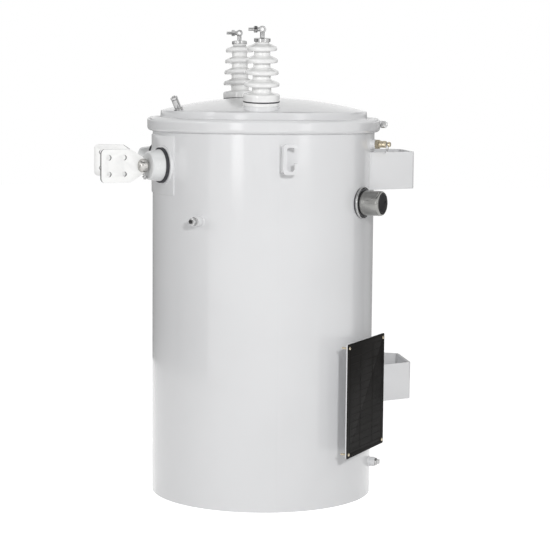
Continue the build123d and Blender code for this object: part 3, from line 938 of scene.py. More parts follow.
# Painted reflection: the cap's end disc is near black, standing in for the dark surroundings its end face
# mirrors.
CAP_END_PAINTED_REFLECTION = Rubber(Slot.TAP_FLANGE, (0.014, 0.014, 0.015), 0.34)
TAP_RING = Rubber(Slot.TAP_FLANGE, (0.05, 0.05, 0.055), 0.40)
BRASS = TurnedMetal(Slot.BRASS, (0.60, 0.53, 0.40), 0.24, 1.0, RELIEF_AZIMUTH)
PLATE = Anodised(Slot.PLATE, (0.0115, 0.0108, 0.0102), 0.50, 0.0, NAME_AZIMUTH)
HUBS = {side: TurnedMetal(Slot.HUB, (0.52, 0.51, 0.49), 0.21, 1.0, side.value * LV_AZIMUTH) for side in Side}


# ---------------------------------------------------------------------------------------------------
# Workshop


@dataclass(frozen=True)
class Screw:
    """Threaded bar on local z, with a nut where it has one.

    The span is where the bar starts and ends, and the thread is where it starts and its length.
    """

    radius: float
    pitch: float
    span: Point2
    thread: Point2
    edge: float
    segments: int = 32
    nut_across: float = 0.0
    nut_t: float = 0.0
    nut_foot: float = 0.0


class Workshop:
    """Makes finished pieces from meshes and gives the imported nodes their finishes."""

    SMOOTH_BELOW = 32.0
    SAME_POINT = 2e-6
    FLAT_BELOW = 0.6
    EASED_ABOVE = 35.0
    EASE_STEPS = 2
    RIPPLE = 2.6
    RING_WELD = 2.6
    RING_STEPS = 40
    THREAD_DEPTH = 0.2

    def __init__(self, nodes: dict[str, Object]) -> None:
        """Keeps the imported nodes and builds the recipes.

        Args:
            nodes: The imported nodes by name.
        """
        self.nodes = nodes
        self.materials: dict[Finish, Material] = {}
        self.thread = ThreadRecipe()
        self.weld = WeldRecipe()
        self.rows = RowRecipe()
        self.ring = RingRecipe()
        self.sheds = ShedRecipe()

    def material(self, finish: Finish) -> Material:
        """Gives a finish's material, which is made once.

        Args:
            finish: The finish.

        Returns:
            Its material.
        """
        if finish not in self.materials:
            self.materials[finish] = finish.build()
        return self.materials[finish]

    def dress(self, finish: Finish, *names: str) -> None:
        """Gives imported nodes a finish.

        Args:
            finish: The finish.
            names: Names of the nodes.
        """
        for name in names:
            for place in self.nodes[name].material_slots:
                place.material = self.material(finish)
            LOG.info("dressed %s with %s", name, finish.title)

    def piece(
        self, name: str, mesh: Mesh, finish: Finish, replaces: Sequence[str] = (), smooth: bool = True
    ) -> Object:
        """Makes a mesh a finished piece of the object.

        Args:
            name: Name of the piece.
            mesh: Its mesh, in its place.
            finish: Its finish.
            replaces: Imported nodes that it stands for.
            smooth: Whether its shallow edges are shaded smooth.

        Returns:
            The piece.
        """
        mesh.name = name
        mesh.materials.clear()
        mesh.materials.append(self.material(finish))
        if "custom_normal" in mesh.attributes:
            mesh.attributes.remove(mesh.attributes["custom_normal"])
        if smooth:
            mesh.shade_smooth()
            mesh.set_sharp_from_angle(angle=radians(self.SMOOTH_BELOW))
        piece = shown(name, mesh)
        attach(piece, BODY)
        if replaces:
            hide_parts(*replaces)
        LOG.info("built %s, %d faces", name, len(mesh.polygons))
        return piece

    def stand_in(self, node: str, ending: str, mesh: Mesh, finish: Finish) -> Object:
        """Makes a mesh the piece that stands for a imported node, named after it with an ending."""
        return self.piece(f"{node}_{ending}", mesh, finish, [node])

    def eased(self, node: str, finish: Finish, width: float) -> Object:
        """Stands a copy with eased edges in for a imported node.

        Args:
            node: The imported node.
            finish: Finish of the copy.
            width: Width of the eased edges.

        Returns:
            The copy.
        """
        work = bmesh.new()
        work.from_mesh(self.nodes[node].data)
        bmesh.ops.remove_doubles(work, verts=work.verts, dist=self.SAME_POINT)
        flat = radians(self.FLAT_BELOW)
        bmesh.ops.dissolve_limit(work, angle_limit=flat, verts=work.verts, edges=work.edges)

        def prepare(holder: Object) -> None:
            """Adds the easing.

            Args:
                holder: Object that holds the mesh.
            """
            bevel = holder.modifiers.new("eased", "BEVEL")
            bevel.width = width * MM
            bevel.segments = self.EASE_STEPS
            bevel.limit_method = "ANGLE"
            bevel.angle_limit = radians(self.EASED_ABOVE)
            bevel.harden_normals = False

        return self.stand_in(node, "eased", evaluated(plain(node, work), prepare), finish)

    def bead(self, name: str, runs: Sequence[Sequence[Vector]], size: float) -> None:
        """Lays a painted weld bead.

        Args:
            name: Name of the bead.
            runs: Points of each of its runs, in metres.
            size: Radius of the bead.
        """
        values = {"Ripple": self.RIPPLE * MM, "Size": size * MM, "Seed": SEED}
        mesh = self.weld.run(path_mesh(name, runs), self.material(PAINT), values)
        self.piece(name, mesh, PAINT)

    def ring_weld(self, node: str, azimuth: float, height: float, radius: float) -> None:
        """Welds a round boss to the wall.

        Args:
            node: Name of the boss.
            azimuth: Its direction.
            height: Its height.
            radius: Its radius.
        """
        outline = [(radius * x, radius * y) for x, y in spokes(self.RING_STEPS)]
        self.bead(f"{node}_weld", [on_wall(azimuth, height, [*outline, outline[0]])], self.RING_WELD)

    def screw(self, screw: Screw, finish: Finish) -> Mesh:
        """Makes a threaded bar and its nut.

        Args:
            screw: Their sizes.
            finish: Their finish.

        Returns:
            The mesh of both.
        """
        start, length = screw.thread
        values = {
            "Turns": length / screw.pitch,
            "Pitch": screw.pitch * MM,
            "Radius": (screw.radius - self.THREAD_DEPTH * screw.pitch) * MM,
            "Start": start * MM,
        }
        bar = rod("bar", screw.radius, *screw.span, (screw.edge, screw.edge), segments=screw.segments)
        threaded = self.thread.run(bar, self.material(finish), values)
        if not screw.nut_t:
            return threaded
        nut = hexagon("nut", screw.nut_across, screw.nut_t, Ends.BOTH, lifted(screw.nut_foot))
        return joined("screw", [threaded, nut])


# ---------------------------------------------------------------------------------------------------
# Sub-assemblies


@dataclass
class Assembly:
    """A sub-assembly and the workshop that makes it."""

    shop: Workshop

    def build(self) -> None:
        """Makes and dresses its pieces."""
        raise NotImplementedError


@dataclass
class SidedAssembly(Assembly):
    """A sub-assembly of which one stands on each side of the tank."""

    side: Side

    @property
    def word(self) -> str:
        """The side as its nodes' names give it."""
        return self.side.name.lower()


@dataclass
class Tank(Assembly):
    """Rolled wall, recessed bottom and top bead, with the wall's seam on the hidden side."""

    seam_azimuth: float = 262.0
    seam_low: float = 4.0
    seam_high: float = 1004.0
    seam_size: float = 2.2
    seam_sunk: float = 1.1

    def build(self) -> None:
        """Dresses the shell and lays the seam."""
        self.shop.dress(PAINT, "tank_wall", "tank_bottom", "tank_bead")
        ends = [(0.0, self.seam_low), (0.0, self.seam_high)]
        self.shop.bead("wall_seam", [on_wall(self.seam_azimuth, 0.0, ends, -self.seam_sunk)], self.seam_size)


@dataclass
class Cover(Assembly):
    """Domed cover with its gasket, clamping band, closing bolt and stud."""

    edge: float = 4.0
    split_azimuth: float = 172.0
    bolt_out: float = 333.0
    bolt_height: float = 1029.5
    bolt: Screw = Screw(5.5, 1.75, (-33.0, 33.0), (0.0, 31.5), 0.8, nut_across=17.0, nut_t=8.8, nut_foot=18.0)
    head_t: float = 7.2

    def build(self) -> None:
        """Dresses the cover and makes the band's bolt."""
        shop = self.shop
        shop.eased("cover", PAINT, self.edge)
        shop.dress(PAINT, "cover_band")
        shop.dress(RUBBER, "cover_gasket")
        shop.dress(PLATED, "cover_stud")
        axis = turned(wall_place(self.split_azimuth, self.bolt_out, self.bolt_height), 90.0, "Y")
        bolt = shop.screw(self.bolt, PLATED)
        back = turned(lifted(-self.bolt.nut_foot), 180.0, "X")
        head = hexagon("head", self.bolt.nut_across, self.head_t, Ends.OUTER, back)
        shop.stand_in("band_bolt", "threaded", joined("bolt", [bolt, head], axis), PLATED)


@dataclass
class HighVoltageBushing(SidedAssembly):
    """Shedded porcelain on the cover with its seat, gasket, cap and eye terminal."""

    spot: Point3 = (222.0, -38.0, 1083.0)
    lean: float = 5.0
    lean_front: float = 0.4
    segments: int = 96
    seat: float = 9.0
    seat_edge: float = 0.8
    gasket: float = 3.0
    gasket_r: float = 48.8
    gasket_bulge: float = 0.3
    gasket_edge: float = 1.6
    collar_r: float = 48.4
    collar_h: float = 19.0
    collar_slope: float = 4.5
    collar_edges: Sequence[float] = (1.5, 4.0, 3.0)
    neck_r: float = 24.8
    neck_edge: float = 3.0
    shed_foot: float = 30.0
    rim_r: float = 47.0
    rim_place: float = 17.5
    rim_below: float = 8.6
    rim_above: float = 2.0
    rim_edge: float = 4.9
    slope: float = 10.0
    draft: float = 1.6
    pitch: float = 31.5
    sheds: int = 4
    foot_scale: float = 1.0296
    top_scale: float = 0.8168
    waist: float = 0.92
    porcelain_h: float = 156.0
    same_point: float = 2e-5
    cap_h: float = 9.5
    stem: Screw = Screw(6.0, 1.5, (3.0, 14.0), (3.5, 10.0), 0.3)
    eye_r: float = 9.2
    eye_hole_r: float = 5.0
    eye_t: float = 14.0
    eye_edges: Sequence[float] = (1.2, 1.9, 1.9, 1.2)
    eye_segments: int = 40
    eye_neck_r: float = 5.8
    eye_neck_foot: float = 7.0
    bolt: Screw = Screw(4.1, 1.25, (12.5, 37.0), (22.5, 13.5), 0.8, nut_across=17.0, nut_t=9.0, nut_foot=13.5)

    @property
    def place(self) -> Matrix:
        """The bushing's seat on the cover: z along the bushing, y to the rear."""
        x, y, z = self.spot
        leant = turned(moved(Matrix(), self.side.value * x, y, z), self.lean_front, "X")
        return turned(leant, self.side.value * self.lean, "Y")

    @property
    def stem_foot(self) -> float:
        """Height of the stem's foot, from the foot of the seat."""
        return self.seat + self.gasket + self.porcelain_h + self.cap_h

    def build(self) -> None:
        """Builds the gasket, the porcelain and the terminal and dresses the rest."""
        self.shop.eased(f"hv_seat_{self.word}", PORCELAIN, self.seat_edge)
        self.shop.dress(PLATED, f"hv_cap_{self.word}")
        self.build_gasket()
        self.build_porcelain()
        self.build_terminal()
        self.build_stem()

    def build_gasket(self) -> None:
        """Gasket squeezed out a little round the porcelain's foot."""
        low, high = -self.gasket_bulge, self.gasket + self.gasket_bulge
        place, edges = moved(self.place, z=self.seat), (self.gasket_edge, self.gasket_edge)
        ring = rod("gasket", self.gasket_r, low, high, edges, 5, self.segments, place)
        self.shop.stand_in(f"hv_gasket_{self.word}", "squeezed", ring, RUBBER)

    def shed(self) -> Mesh:
        """Makes one shed on its length of the core.

        Returns:
            The shed's mesh.
        """
        low, high = self.rim_place - self.rim_below, self.rim_place + self.rim_above
        corners = [
            (self.neck_r, 0.0),
            (self.neck_r, low - self.draft),
            (self.rim_r, low),
            (self.rim_r, high),
            (self.neck_r, self.rim_place + self.slope),
            (self.neck_r, self.pitch),
        ]
        edges = (self.neck_edge, self.rim_edge, self.rim_edge, self.neck_edge)
        return lathe("shed", rounded(corners, edges, 6), self.segments)

    def build_porcelain(self) -> None:
        """Porcelain: stacked sheds between a collar and a plain top."""
        values = {
            "Count": self.sheds,
            "Pitch": self.pitch * MM,
            "Foot scale": self.foot_scale,
            "Top scale": self.top_scale,
            "Waist": self.waist,
        }
        stack = self.shop.sheds.run(self.shed(), self.shop.material(PORCELAIN), values)
        stack.transform(lifted(self.shed_foot))
        neck = self.neck_r * self.foot_scale
        top_neck = self.neck_r * self.top_scale * self.waist
        collar = [
            (0.0, 0.0),
            (self.collar_r, 0.0),
            (self.collar_r, self.collar_h),
            (neck, self.collar_h + self.collar_slope),
            (neck, self.shed_foot),
        ]
        below = lathe("collar", rounded(collar, self.collar_edges), self.segments)
        above = lathe("top", [(top_neck, self.porcelain_h), (0.0, self.porcelain_h)], self.segments)
        place = moved(self.place, z=self.seat + self.gasket)
        whole = joined("porcelain", [below, stack, above], place, self.same_point)
        self.shop.stand_in(f"hv_porcelain_{self.word}", "glazed", whole, PORCELAIN)

    def build_terminal(self) -> None:
        """Terminal: rounded eye with a clamping bolt and its nut towards the front."""
        half, inner, outer = self.eye_t / 2, self.eye_hole_r, self.eye_r
        section = [(inner, 0.0), (inner, -half), (outer, -half), (outer, half), (inner, half), (inner, 0.0)]
        sideways, frontwards = turned(Matrix(), 90.0, "Y"), turned(Matrix(), 90.0, "X")
        eye = lathe("eye", rounded(section, self.eye_edges, 4), self.eye_segments, sideways)
        edges = (self.bolt.edge, self.bolt.edge)
        neck = rod("neck", self.eye_neck_r, self.eye_neck_foot, self.bolt.nut_foot, edges)
        front = joined("front", [neck, self.shop.screw(self.bolt, PLATED)], frontwards)
        place = moved(self.place, z=self.stem_foot + self.stem.span[1] + self.eye_r)
        whole = joined("terminal", [eye, front], place)
        self.shop.stand_in(f"hv_terminal_{self.word}", "threaded", whole, PLATED)

    def build_stem(self) -> None:
        """Thread round the terminal's stem."""
        stem = self.shop.screw(self.stem, PLATED)
        stem.transform(moved(self.place, z=self.stem_foot))
        self.shop.piece(f"hv_stem_{self.word}_thread", stem, PLATED)


@dataclass
class LowVoltageBushing(SidedAssembly):
    """Light body on the raised plate with its gasket, hub, four-hole spade and clamp bolt."""

    height: float = 919.0
    boss_face: float = 314.0
    gasket: float = 8.0
    body_l: float = 35.0
    neck_l: float = 3.0
    clamp_back: float = 5.0
    spade_edge: float = 0.7
    bolt: Screw = Screw(3.5, 1.2, (9.25, 37.5), (20.5, 16.0), 0.7, nut_across=11.0, nut_t=5.0, nut_foot=27.5)
    edge_share: float = 0.5

    @property
    def azimuth(self) -> float:
        """Direction in which the bushing stands out."""
        return self.side.value * LV_AZIMUTH

    def build(self) -> None:
        """Dresses the bushing and makes its clamp bolt."""
        shop, word = self.shop, self.word
        shop.dress(RUBBER, f"lv_gasket_{word}")
        shop.dress(BUSHING, f"lv_body_{word}")
        shop.dress(HUBS[self.side], f"lv_hub_{word}")
        self.mark_edges(shop.eased(f"lv_spade_{word}", TINNED, self.spade_edge))
        out = self.gasket + self.body_l + self.neck_l + self.clamp_back
        down = turned(moved(wall_place(self.azimuth, self.boss_face, self.height), z=out), 90.0, "X")
        bolt = shop.screw(self.bolt, PLATED)
        bolt.transform(down)
        shop.stand_in(f"lv_clamp_bolt_{word}", "threaded", bolt, PLATED)

    def mark_edges(self, spade: Object) -> None:
        """Marks the spade's edge faces and its holes' walls, where painted shade makes them darker than its
        faces.

        Args:
            spade: The spade.
        """
        across = wall_place(self.azimuth, 0.0, 0.0).to_3x3() @ Vector((1.0, 0.0, 0.0))
        marks = spade.data.attributes.new(PAINTED_EDGE_SHADE, "FLOAT", "FACE")
        for face in spade.data.polygons:
            marks.data[face.index].value = float(abs(face.normal.dot(across)) < self.edge_share)


@dataclass
class BushingPlate(Assembly):
    """Raised plate under the low voltage bushings, welded round its edge."""

    half_angle: float = 31.0
    low: float = 840.0
    high: float = 998.0
    edge: float = 0.9
    bead: float = 1.6
    bead_lift: float = 0.3
    steps: int = 48

    def build(self) -> None:
        """Eases the plate's edges and welds it."""
        self.shop.eased("bushing_plate", PAINT, self.edge)
        angles = [self.half_angle * (2 * i / self.steps - 1) for i in range(self.steps + 1)]
        way = [(a, self.high) for a in angles] + [(a, self.low) for a in reversed(angles)]
        run = [on_wall(a, height, [(0.0, 0.0)], self.bead_lift)[0] for a, height in way]
        self.shop.bead("bushing_plate_weld", [[*run, run[0]]], self.bead)


@dataclass
class SupportLug(Assembly):
    """Bent bracket towards the pole, welded to the wall along both legs."""

    word: str
    height: float
    face_y: float = 411.0
    face_w: float = 165.0
    splay: float = 0.42
    tall: float = 103.0
    sheet: float = 6.5
    edge: float = 1.0
    bead: float = 3.2
    bead_inset: float = 1.0
    rounds: int = 24

    def leg_foot(self, inset: float) -> Point2:
        """Where a leg meets the wall, in plan.

        Args:
            inset: Distance of the leg's side from its outer side.

        Returns:
            x and y of the foot.
        """
        half = self.face_w / 2 - inset * sqrt(1 + self.splay**2)
        y = TANK_R
        for _ in range(self.rounds):
            x = half + self.splay * (self.face_y - y)
            y = sqrt(TANK_R**2 - x**2)
        return x, y

    def build(self) -> None:
        """Eases the bracket's edges and lays its welds."""
        self.shop.eased(f"support_lug_{self.word}", PAINT, self.edge)
        half = self.tall / 2 - self.bead_inset
        runs = []
        for inset in (0.0, self.sheet):
            x, y = self.leg_foot(inset)
            for sign in (1, -1):
                heights = (self.height - half, self.height + half)
                runs.append([Vector((sign * x, y, z)) * MM for z in heights])
        self.shop.bead(f"support_lug_{self.word}_weld", runs, self.bead)


@dataclass
class LiftingLug(SidedAssembly):
    """Hook shaped plate on a web, welded round the web's foot."""

    azimuth: float = 93.8
    height: float = 945.0
    plate_w: float = 38.5
    web_t: float = 9.0
    web_h: float = 68.0
    edge: float = 1.0
    bead: float = 3.0

    def build(self) -> None:
        """Eases the lug's edges and lays its weld."""
        node, sign = f"lifting_lug_{self.word}", self.side.value
        self.shop.eased(node, PAINT, self.edge)
        left, half = -self.plate_w / 2, self.web_h / 2
        right = left + self.web_t
        loop = [(left, -half), (right, -half), (right, half), (left, half), (left, -half)]
        outline = [(sign * across, up) for across, up in loop]
        self.shop.bead(f"{node}_weld", [on_wall(sign * self.azimuth, self.height, outline)], self.bead)


@dataclass
class TapChanger(Assembly):
    """Tap changer: flange, retaining ring and turned cap whose end disc is near black as a painted dark
    reflection.
    """

    height: float = 822.0
    flange_t: float = 6.0
    flange_r: float = 42.0
    flange_edge: float = 0.8
    cap_r: float = 34.0
    cap_l: float = 58.0
    cap_rim: float = 7.2
    cap_edges: Sequence[float] = (0.4, 6.5, 0.3, 0.3)
    recess: float = 2.0
    end_t: float = 3.0
    end_gap: float = 0.2
    end_dome: float = 9.0
    end_edges: Sequence[float] = (0.2, 1.6, 8.0)
    ring_gap: float = 0.05
    ring_out: float = 0.9
    ring_in: float = 3.4
    ring_foot: float = -3.6
    ring_top: float = 1.8
    ring_edges: Sequence[float] = (0.0, 0.2, 0.2, 1.2, 0.6)
    segments: int = 96
    ring_segments: int = 72

    def build(self) -> None:
        """Builds the cap, its end and the ring on the eased flange."""
        self.shop.eased("tap_changer_flange", TAP_RING, self.flange_edge)
        face = wall_place(TAP_AZIMUTH, TANK_R + self.flange_t, self.height)
        rim, level, inside = self.cap_r - self.cap_rim, self.cap_l, self.cap_l - self.recess
        cap = [(0.0, 0.0), (self.cap_r, 0.0), (self.cap_r, level), (rim, level), (rim, inside), (0.0, inside)]
        barrel = lathe("cap", rounded(cap, self.cap_edges, 8), self.segments, face)
        self.shop.stand_in("tap_changer_cap", "turned", barrel, CAP)
        edge = rim - self.end_gap
        end = [(0.0, -self.end_t), (edge, -self.end_t), (edge, -self.end_gap), (rim - self.end_dome, 0.0)]
        end_shape = rounded([*end, (0.0, 0.0)], self.end_edges, 6)
        disc = lathe("end", end_shape, self.segments, moved(face, z=level))
        # The end disc's near-black finish is a painted reflection of dark surroundings.
        self.shop.piece("tap_changer_cap_end", disc, CAP_END_PAINTED_REFLECTION)
        rim, outer = self.flange_r + self.ring_gap, self.flange_r + self.ring_out
        inner, foot, top = self.flange_r - self.ring_in, self.ring_foot, self.ring_top
        loop = [(inner, 0.0), (rim, 0.0), (rim, foot), (outer, foot), (outer, top), (inner, top)]
        ring = lathe("ring", rounded([*loop, loop[0]], self.ring_edges, 4), self.ring_segments, face)
        self.shop.piece("tap_changer_ring", ring, PLATED)


@dataclass
class ReliefValve(Assembly):
    """Relief valve: chamfered hexagon, grooved barrel, knurled knob and pull ring."""

    height: float = 978.0
    coupling_r: float = 13.0
    coupling_l: float = 12.0
    across: float = 24.0
    hex_l: float = 12.0
    foot: float = 0.5
    barrel_r: float = 9.5
    barrel_l: float = 19.0
    groove: Point2 = (5.0, 8.0)
    groove_slope: float = 0.6
    groove_depth: float = 1.1
    neck_r: float = 3.5
    neck_l: float = 3.2
    knob_r: float = 7.0
    knob_l: float = 8.0
    knob_sunk: float = 0.5
    edges: Sequence[float] = (0.0, 0.3, 0.3, 0.3, 0.3, 3.0, 0.3, 0.0, 0.8, 1.5)
    segments: int = 40
    ridges: int = 20
    ridge_w: float = 0.9
    ridge_t: float = 1.0
    ridge_edge: float = 0.3
    ridge_start: float = 1.3
    ridge_short: float = 3.0
    ridge_sunk: float = 0.6

    def build(self) -> None:
        """Dresses the coupling and the pull ring and builds the valve."""
        shop = self.shop
        shop.dress(PAINT, "relief_coupling")
        shop.dress(PLATED, "relief_ring")
        shop.ring_weld("relief_coupling", RELIEF_AZIMUTH, self.height, self.coupling_r)
        barrel_end = self.hex_l + self.barrel_l
        neck_end = barrel_end + self.neck_l
        knob_end = neck_end + self.knob_l
        outer, inner, knob = self.barrel_r, self.barrel_r - self.groove_depth, self.knob_r - self.knob_sunk
        low, high = (self.hex_l + level for level in self.groove)
        profile = [
            (0.0, self.foot),
            (outer, self.foot),
            (outer, low),
            (inner, low + self.groove_slope),
            (inner, high - self.groove_slope),
            (outer, high),
            (outer, barrel_end),
            (self.neck_r, barrel_end),
            (self.neck_r, neck_end),
            (knob, neck_end),
            (knob, knob_end),
            (0.0, knob_end),
        ]
        body = lathe("barrel", rounded(profile, self.edges, 4), self.segments)
        hexed = hexagon("hexagon", self.across, self.hex_l, Ends.BOTH)
        size = (self.ridge_w, self.ridge_t, self.knob_l - self.ridge_short)
        ridge = slab("ridge", size, self.ridge_edge, lifted(neck_end + self.ridge_start))
        values = {"Count": self.ridges, "Radius": (self.knob_r - self.ridge_sunk) * MM}
        knurl = shop.ring.run(ridge, shop.material(BRASS), values)
        face = wall_place(RELIEF_AZIMUTH, TANK_R + self.coupling_l, self.height)
        shop.stand_in("relief_valve", "turned", joined("valve", [body, hexed, knurl], face), BRASS)


@dataclass
class Ground(Assembly):
    """Ground: welded boss with a washer and a bolt."""

    azimuth: float = 49.0
    height: float = 777.0
    boss_r: float = 13.5
    boss_l: float = 24.0
    boss_edge: float = 0.8
    washer_r: float = 12.0
    washer_t: float = 3.0
    washer_edges: Point2 = (0.4, 0.9)
    washer_segments: int = 48
    head_across: float = 19.0
    head_t: float = 10.0

    def build(self) -> None:
        """Eases and welds the boss and builds the washer and the chamfered head."""
        self.shop.eased("ground_boss", PAINT, self.boss_edge)
        self.shop.ring_weld("ground_boss", self.azimuth, self.height, self.boss_r)
        face = wall_place(self.azimuth, TANK_R + self.boss_l, self.height)
        disc = rod("washer", self.washer_r, 0.0, self.washer_t, self.washer_edges, 3, self.washer_segments)
        head = hexagon("head", self.head_across, self.head_t, Ends.OUTER, lifted(self.washer_t))
        self.shop.stand_in("ground_bolt", "chamfered", joined("bolt", [disc, head], face), PLATED)


@dataclass
class Drain(Assembly):
    """Drain: welded coupling with a plug."""

    azimuth: float = 160.0
    height: float = 90.0
    coupling_r: float = 13.0
    coupling_edge: float = 0.8
    plug_edge: float = 0.7

    def build(self) -> None:
        """Eases and welds the coupling and eases the plug."""
        self.shop.eased("drain_coupling", PAINT, self.coupling_edge)
        self.shop.ring_weld("drain_coupling", self.azimuth, self.height, self.coupling_r)
        self.shop.eased("drain_plug", PLATED, self.plug_edge)


@dataclass
class Nameplate(Assembly):
    """Bare black plate with plain ruled lines, on its backing sheet and webs."""

    face: float = 339.5
    shift: float = -49.5
    width: float = 255.0
    tall: float = 309.0
    middle: float = 301.0
    edge: float = 0.35
    bracket_edge: float = 0.5
    border: float = 18.0
    rule: float = 1.1
    rise: float = 0.35
    rule_edge: float = 0.12
    rules: int = 15
    columns: Sequence[float] = (-38.0, 46.0)
    screw_edge: float = 11.0
    screw_r: float = 4.5
    screw_h: float = 2.8
    screw_edges: Point2 = (0.2, 2.2)
    shank: Screw = Screw(
        2.5, 0.9, (-21.6, 0.5), (-21.6, 14.0), 0.4, 20, nut_across=9.0, nut_t=4.0, nut_foot=-8.6
    )

    @property
    def place(self) -> Matrix:
        """Front face of the plate, at its middle."""
        return moved(wall_place(NAME_AZIMUTH, self.face, self.middle), x=self.shift)

    def build(self) -> None:
        """Builds the plate's lines and screws and eases the sheets."""
        self.shop.eased("nameplate", PLATE, self.edge)
        self.shop.eased("nameplate_bracket", PAINT, self.bracket_edge)
        self.build_rules()
        self.build_screws()

    def build_rules(self) -> None:
        """Raised ruled lines inside a border."""
        inner_w, inner_h = self.width - 2 * self.border, self.tall - 2 * self.border
        bar = slab("rule", (inner_w, self.rule, self.rise), self.rule_edge)
        values = {"Count": self.rules, "Pitch": inner_h / (self.rules - 1) * MM}
        rows = self.shop.rows.run(bar, self.shop.material(PLATE), values)
        rows.transform(moved(Matrix(), y=inner_h / 2))
        size = (inner_h + self.rule, self.rule, self.rise)
        uprights = [
            slab("upright", size, self.rule_edge, turned(moved(Matrix(), x=across), 90.0, "Z"))
            for across in (-inner_w / 2, *self.columns, inner_w / 2)
        ]
        whole = joined("rules", [rows, *uprights], self.place)
        self.shop.piece("nameplate_rules", whole, PLATE, smooth=False)

    def build_screws(self) -> None:
        """Dome headed screws, and a nut behind each."""
        x, y = self.width / 2 - self.screw_edge, self.tall / 2 - self.screw_edge
        screws = []
        for spot in ((x, y), (x, -y), (-x, y), (-x, -y)):
            dome = rod("dome", self.screw_r, 0.0, self.screw_h, self.screw_edges, 5)
            shank = self.shop.screw(self.shank, BRASS)
            screws.append(joined("screw", [dome, shank], moved(self.place, *spot)))
        self.shop.stand_in("nameplate_screws", "threaded", joined("screws", screws), BRASS)


# ---------------------------------------------------------------------------------------------------
# Studio


@dataclass(frozen=True)
class Lamp:
    """Upright soft box in metres, aimed at a height on the tank's axis."""

    name: str
    azimuth: float
    distance: float
    height: float
    aim: float
    width: float
    tall: float
    power: float
    mirrored: bool = False

    def hang(self) -> None:
        """Hangs the lamp and aims it."""
        data = bpy.data.lights.new(self.name, "AREA")
        data.shape = "RECTANGLE"
        data.size = self.width
        data.size_y = self.tall
        data.energy = self.power
        holder = shown(self.name, data)
        turn = radians(self.azimuth)
        holder.location = (sin(turn) * self.distance, -cos(turn) * self.distance, self.height)
        away = holder.location - Vector((0.0, 0.0, self.aim))
        holder.rotation_euler = away.to_track_quat("Z", "Y").to_euler()
        holder.visible_glossy = self.mirrored


@dataclass(frozen=True)
class Flag:
    """Dark or grey card round or over the object, in metres, seen in its gloss alone."""

    name: str
    start: float
    end: float
    low_radius: float
    low: float
    high_radius: float
    high: float
    tone: float = 0.12
    steps: int = 24

    def stand(self) -> None:
        """Sets the card up, hidden from the camera and from the lamps."""
        points = []
        for i in range(self.steps + 1):
            turn = radians(self.start + (self.end - self.start) * i / self.steps)
            ends = ((self.low_radius, self.low), (self.high_radius, self.high))
            points += [(r * sin(turn), -r * cos(turn), z) for r, z in ends]
        faces = [(i, i + 2, i + 3, i + 1) for i in range(0, 2 * self.steps, 2)]
        mesh = raw_mesh(self.name, points, faces=faces)
        mesh.materials.append(Sheet(f"{self.name}_card", (self.tone, self.tone, self.tone), 1.0).material)
        panel = shown(self.name, mesh)
        panel.visible_camera = False
        panel.visible_diffuse = False
        panel.visible_shadow = False
        panel.visible_transmission = False


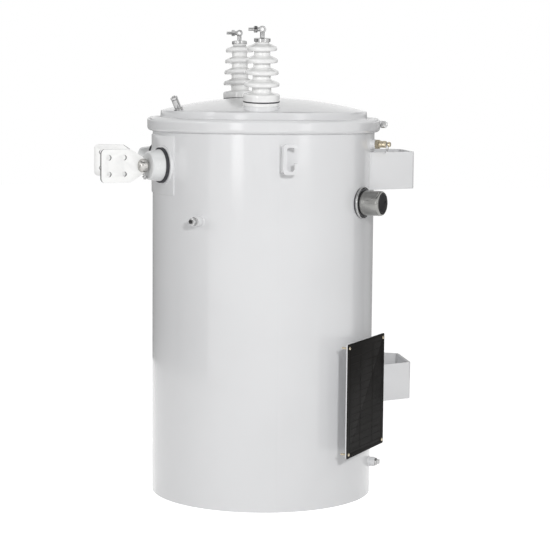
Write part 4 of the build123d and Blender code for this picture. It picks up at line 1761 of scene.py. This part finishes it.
@dataclass
class Studio:
    """Camera, pale floor, plain soft light and a white background."""

    azimuth: float = 81.95
    distance: float = 5010.0
    height: float = 1163.4
    yaw: float = 0.40
    pitch: float = 6.35
    roll: float = 0.50
    lens: float = 117.59
    sensor: float = 36.0
    far: float = 100.0
    floor_r: float = 14.0
    floor_steps: int = 96
    floor_tone: float = 0.76
    floor_roughness: float = 0.9
    floor_specular: float = 0.1
    floor_glow: float = 0.75
    world_light: float = 0.345
    lamps: Sequence[Lamp] = (
        Lamp("key", 96.0, 5.74, 2.37, 0.62, 0.40, 0.40, 132.0),
        Lamp("soft_left", 57.0, 3.2, 1.40, 1.40, 0.62, 1.40, 8.5, True),
        Lamp("soft_right", 121.5, 3.2, 1.50, 1.50, 0.62, 1.50, 6.2, True),
        Lamp("high_left", 22.0, 3.2, 2.00, 0.90, 0.45, 0.80, 3.2, True),
        Lamp("wide_left", 8.0, 4.5, 1.60, 0.62, 1.6, 1.6, 29.0),
        Lamp("pole_side", 152.0, 3.1, 3.00, 0.62, 0.9, 0.9, 5.0),
    )
    flags: Sequence[Flag] = (
        Flag("flag_far_right", 184.0, 208.0, 2.4, 0.0, 2.4, 1.15, 0.05),
        Flag("flag_right", 208.0, 258.0, 2.4, 0.0, 2.4, 1.15, 0.55),
        Flag("flag_left", 268.0, 346.0, 2.4, 0.0, 2.4, 1.15, 0.55),
        Flag("flag_far_left", 346.0, 388.0, 2.4, 0.0, 2.4, 1.15, 0.20),
        Flag("strip_right", 186.0, 238.0, 1.4, 1.235, 1.4, 1.325),
        Flag("strip_left", 288.0, 340.0, 1.4, 1.235, 1.4, 1.325),
        Flag("flag_over", 0.0, 360.0, 2.3, 3.1, 1.3, 3.1),
    )

    def build(self) -> None:
        """Builds the whole studio."""
        self.build_camera()
        for flag in self.flags:
            flag.stand()
        self.build_world()
        self.build_floor()
        for lamp in self.lamps:
            lamp.hang()
        bpy.context.scene.view_settings.view_transform = "Standard"

    def build_camera(self) -> None:
        """Camera at the studio's viewing angle."""
        turn = radians(self.azimuth)
        ahead = Vector((-sin(turn), cos(turn), 0.0))
        right = Vector((cos(turn), sin(turn), 0.0))
        up = Vector((0.0, 0.0, 1.0))
        yaw, pitch, roll = radians(self.yaw), radians(self.pitch), radians(self.roll)
        ahead, right = ahead * cos(yaw) + right * sin(yaw), right * cos(yaw) - ahead * sin(yaw)
        ahead, up = ahead * cos(pitch) - up * sin(pitch), up * cos(pitch) + ahead * sin(pitch)
        right, up = right * cos(roll) + up * sin(roll), up * cos(roll) - right * sin(roll)
        data = bpy.data.cameras.new("camera")
        data.lens = self.lens
        data.sensor_width = self.sensor
        data.clip_end = self.far
        camera = shown("camera", data)
        camera.matrix_world = Matrix((right, up, -ahead)).transposed().to_4x4()
        camera.location = Vector((sin(turn) * self.distance, -cos(turn) * self.distance, self.height)) * MM
        bpy.context.scene.camera = camera

    def build_world(self) -> None:
        """White background that lights the object more gently than it shows."""
        world = bpy.data.worlds.new("studio")
        bpy.context.scene.world = world
        world.use_nodes = True
        graph = Graph(world.node_tree)
        background = graph.tree.nodes["Background"]
        background.inputs["Color"].default_value = (1.0, 1.0, 1.0, 1.0)
        graph.feed(background.inputs["Strength"], graph.seen(self.world_light, 1.0))

    def build_floor(self) -> None:
        """Pale floor that keeps the object's shadow."""
        rim = [(self.floor_r * x, self.floor_r * y, 0.0) for x, y in spokes(self.floor_steps)]
        mesh = raw_mesh("floor", rim, faces=[range(self.floor_steps)])
        tone = (self.floor_tone, self.floor_tone, self.floor_tone)
        paper = Sheet("floor_paper", tone, self.floor_roughness)
        paper.give({"Specular IOR Level": self.floor_specular, "Emission Color": (1.0, 1.0, 1.0, 1.0)})
        paper.give({"Emission Strength": paper.seen(0.0, self.floor_glow)})
        mesh.materials.append(paper.material)
        shown("floor", mesh)


def main() -> None:
    """Builds every sub-assembly in order and reports each piece."""
    logging.basicConfig(level=logging.INFO, format="%(name)s: %(message)s")
    shop = Workshop(frame["nodes"])
    assemblies = [
        Tank(shop),
        Cover(shop),
        *(HighVoltageBushing(shop, side) for side in Side),
        BushingPlate(shop),
        *(LowVoltageBushing(shop, side) for side in Side),
        SupportLug(shop, "upper", 904.5),
        SupportLug(shop, "lower", 314.0),
        *(LiftingLug(shop, side) for side in Side),
        TapChanger(shop),
        ReliefValve(shop),
        Ground(shop),
        Drain(shop),
        Nameplate(shop),
        Studio(),
    ]
    for assembly in assemblies:
        assembly.build()
        LOG.info("finished %s", type(assembly).__name__)


if __name__ == "__main__":
    main()
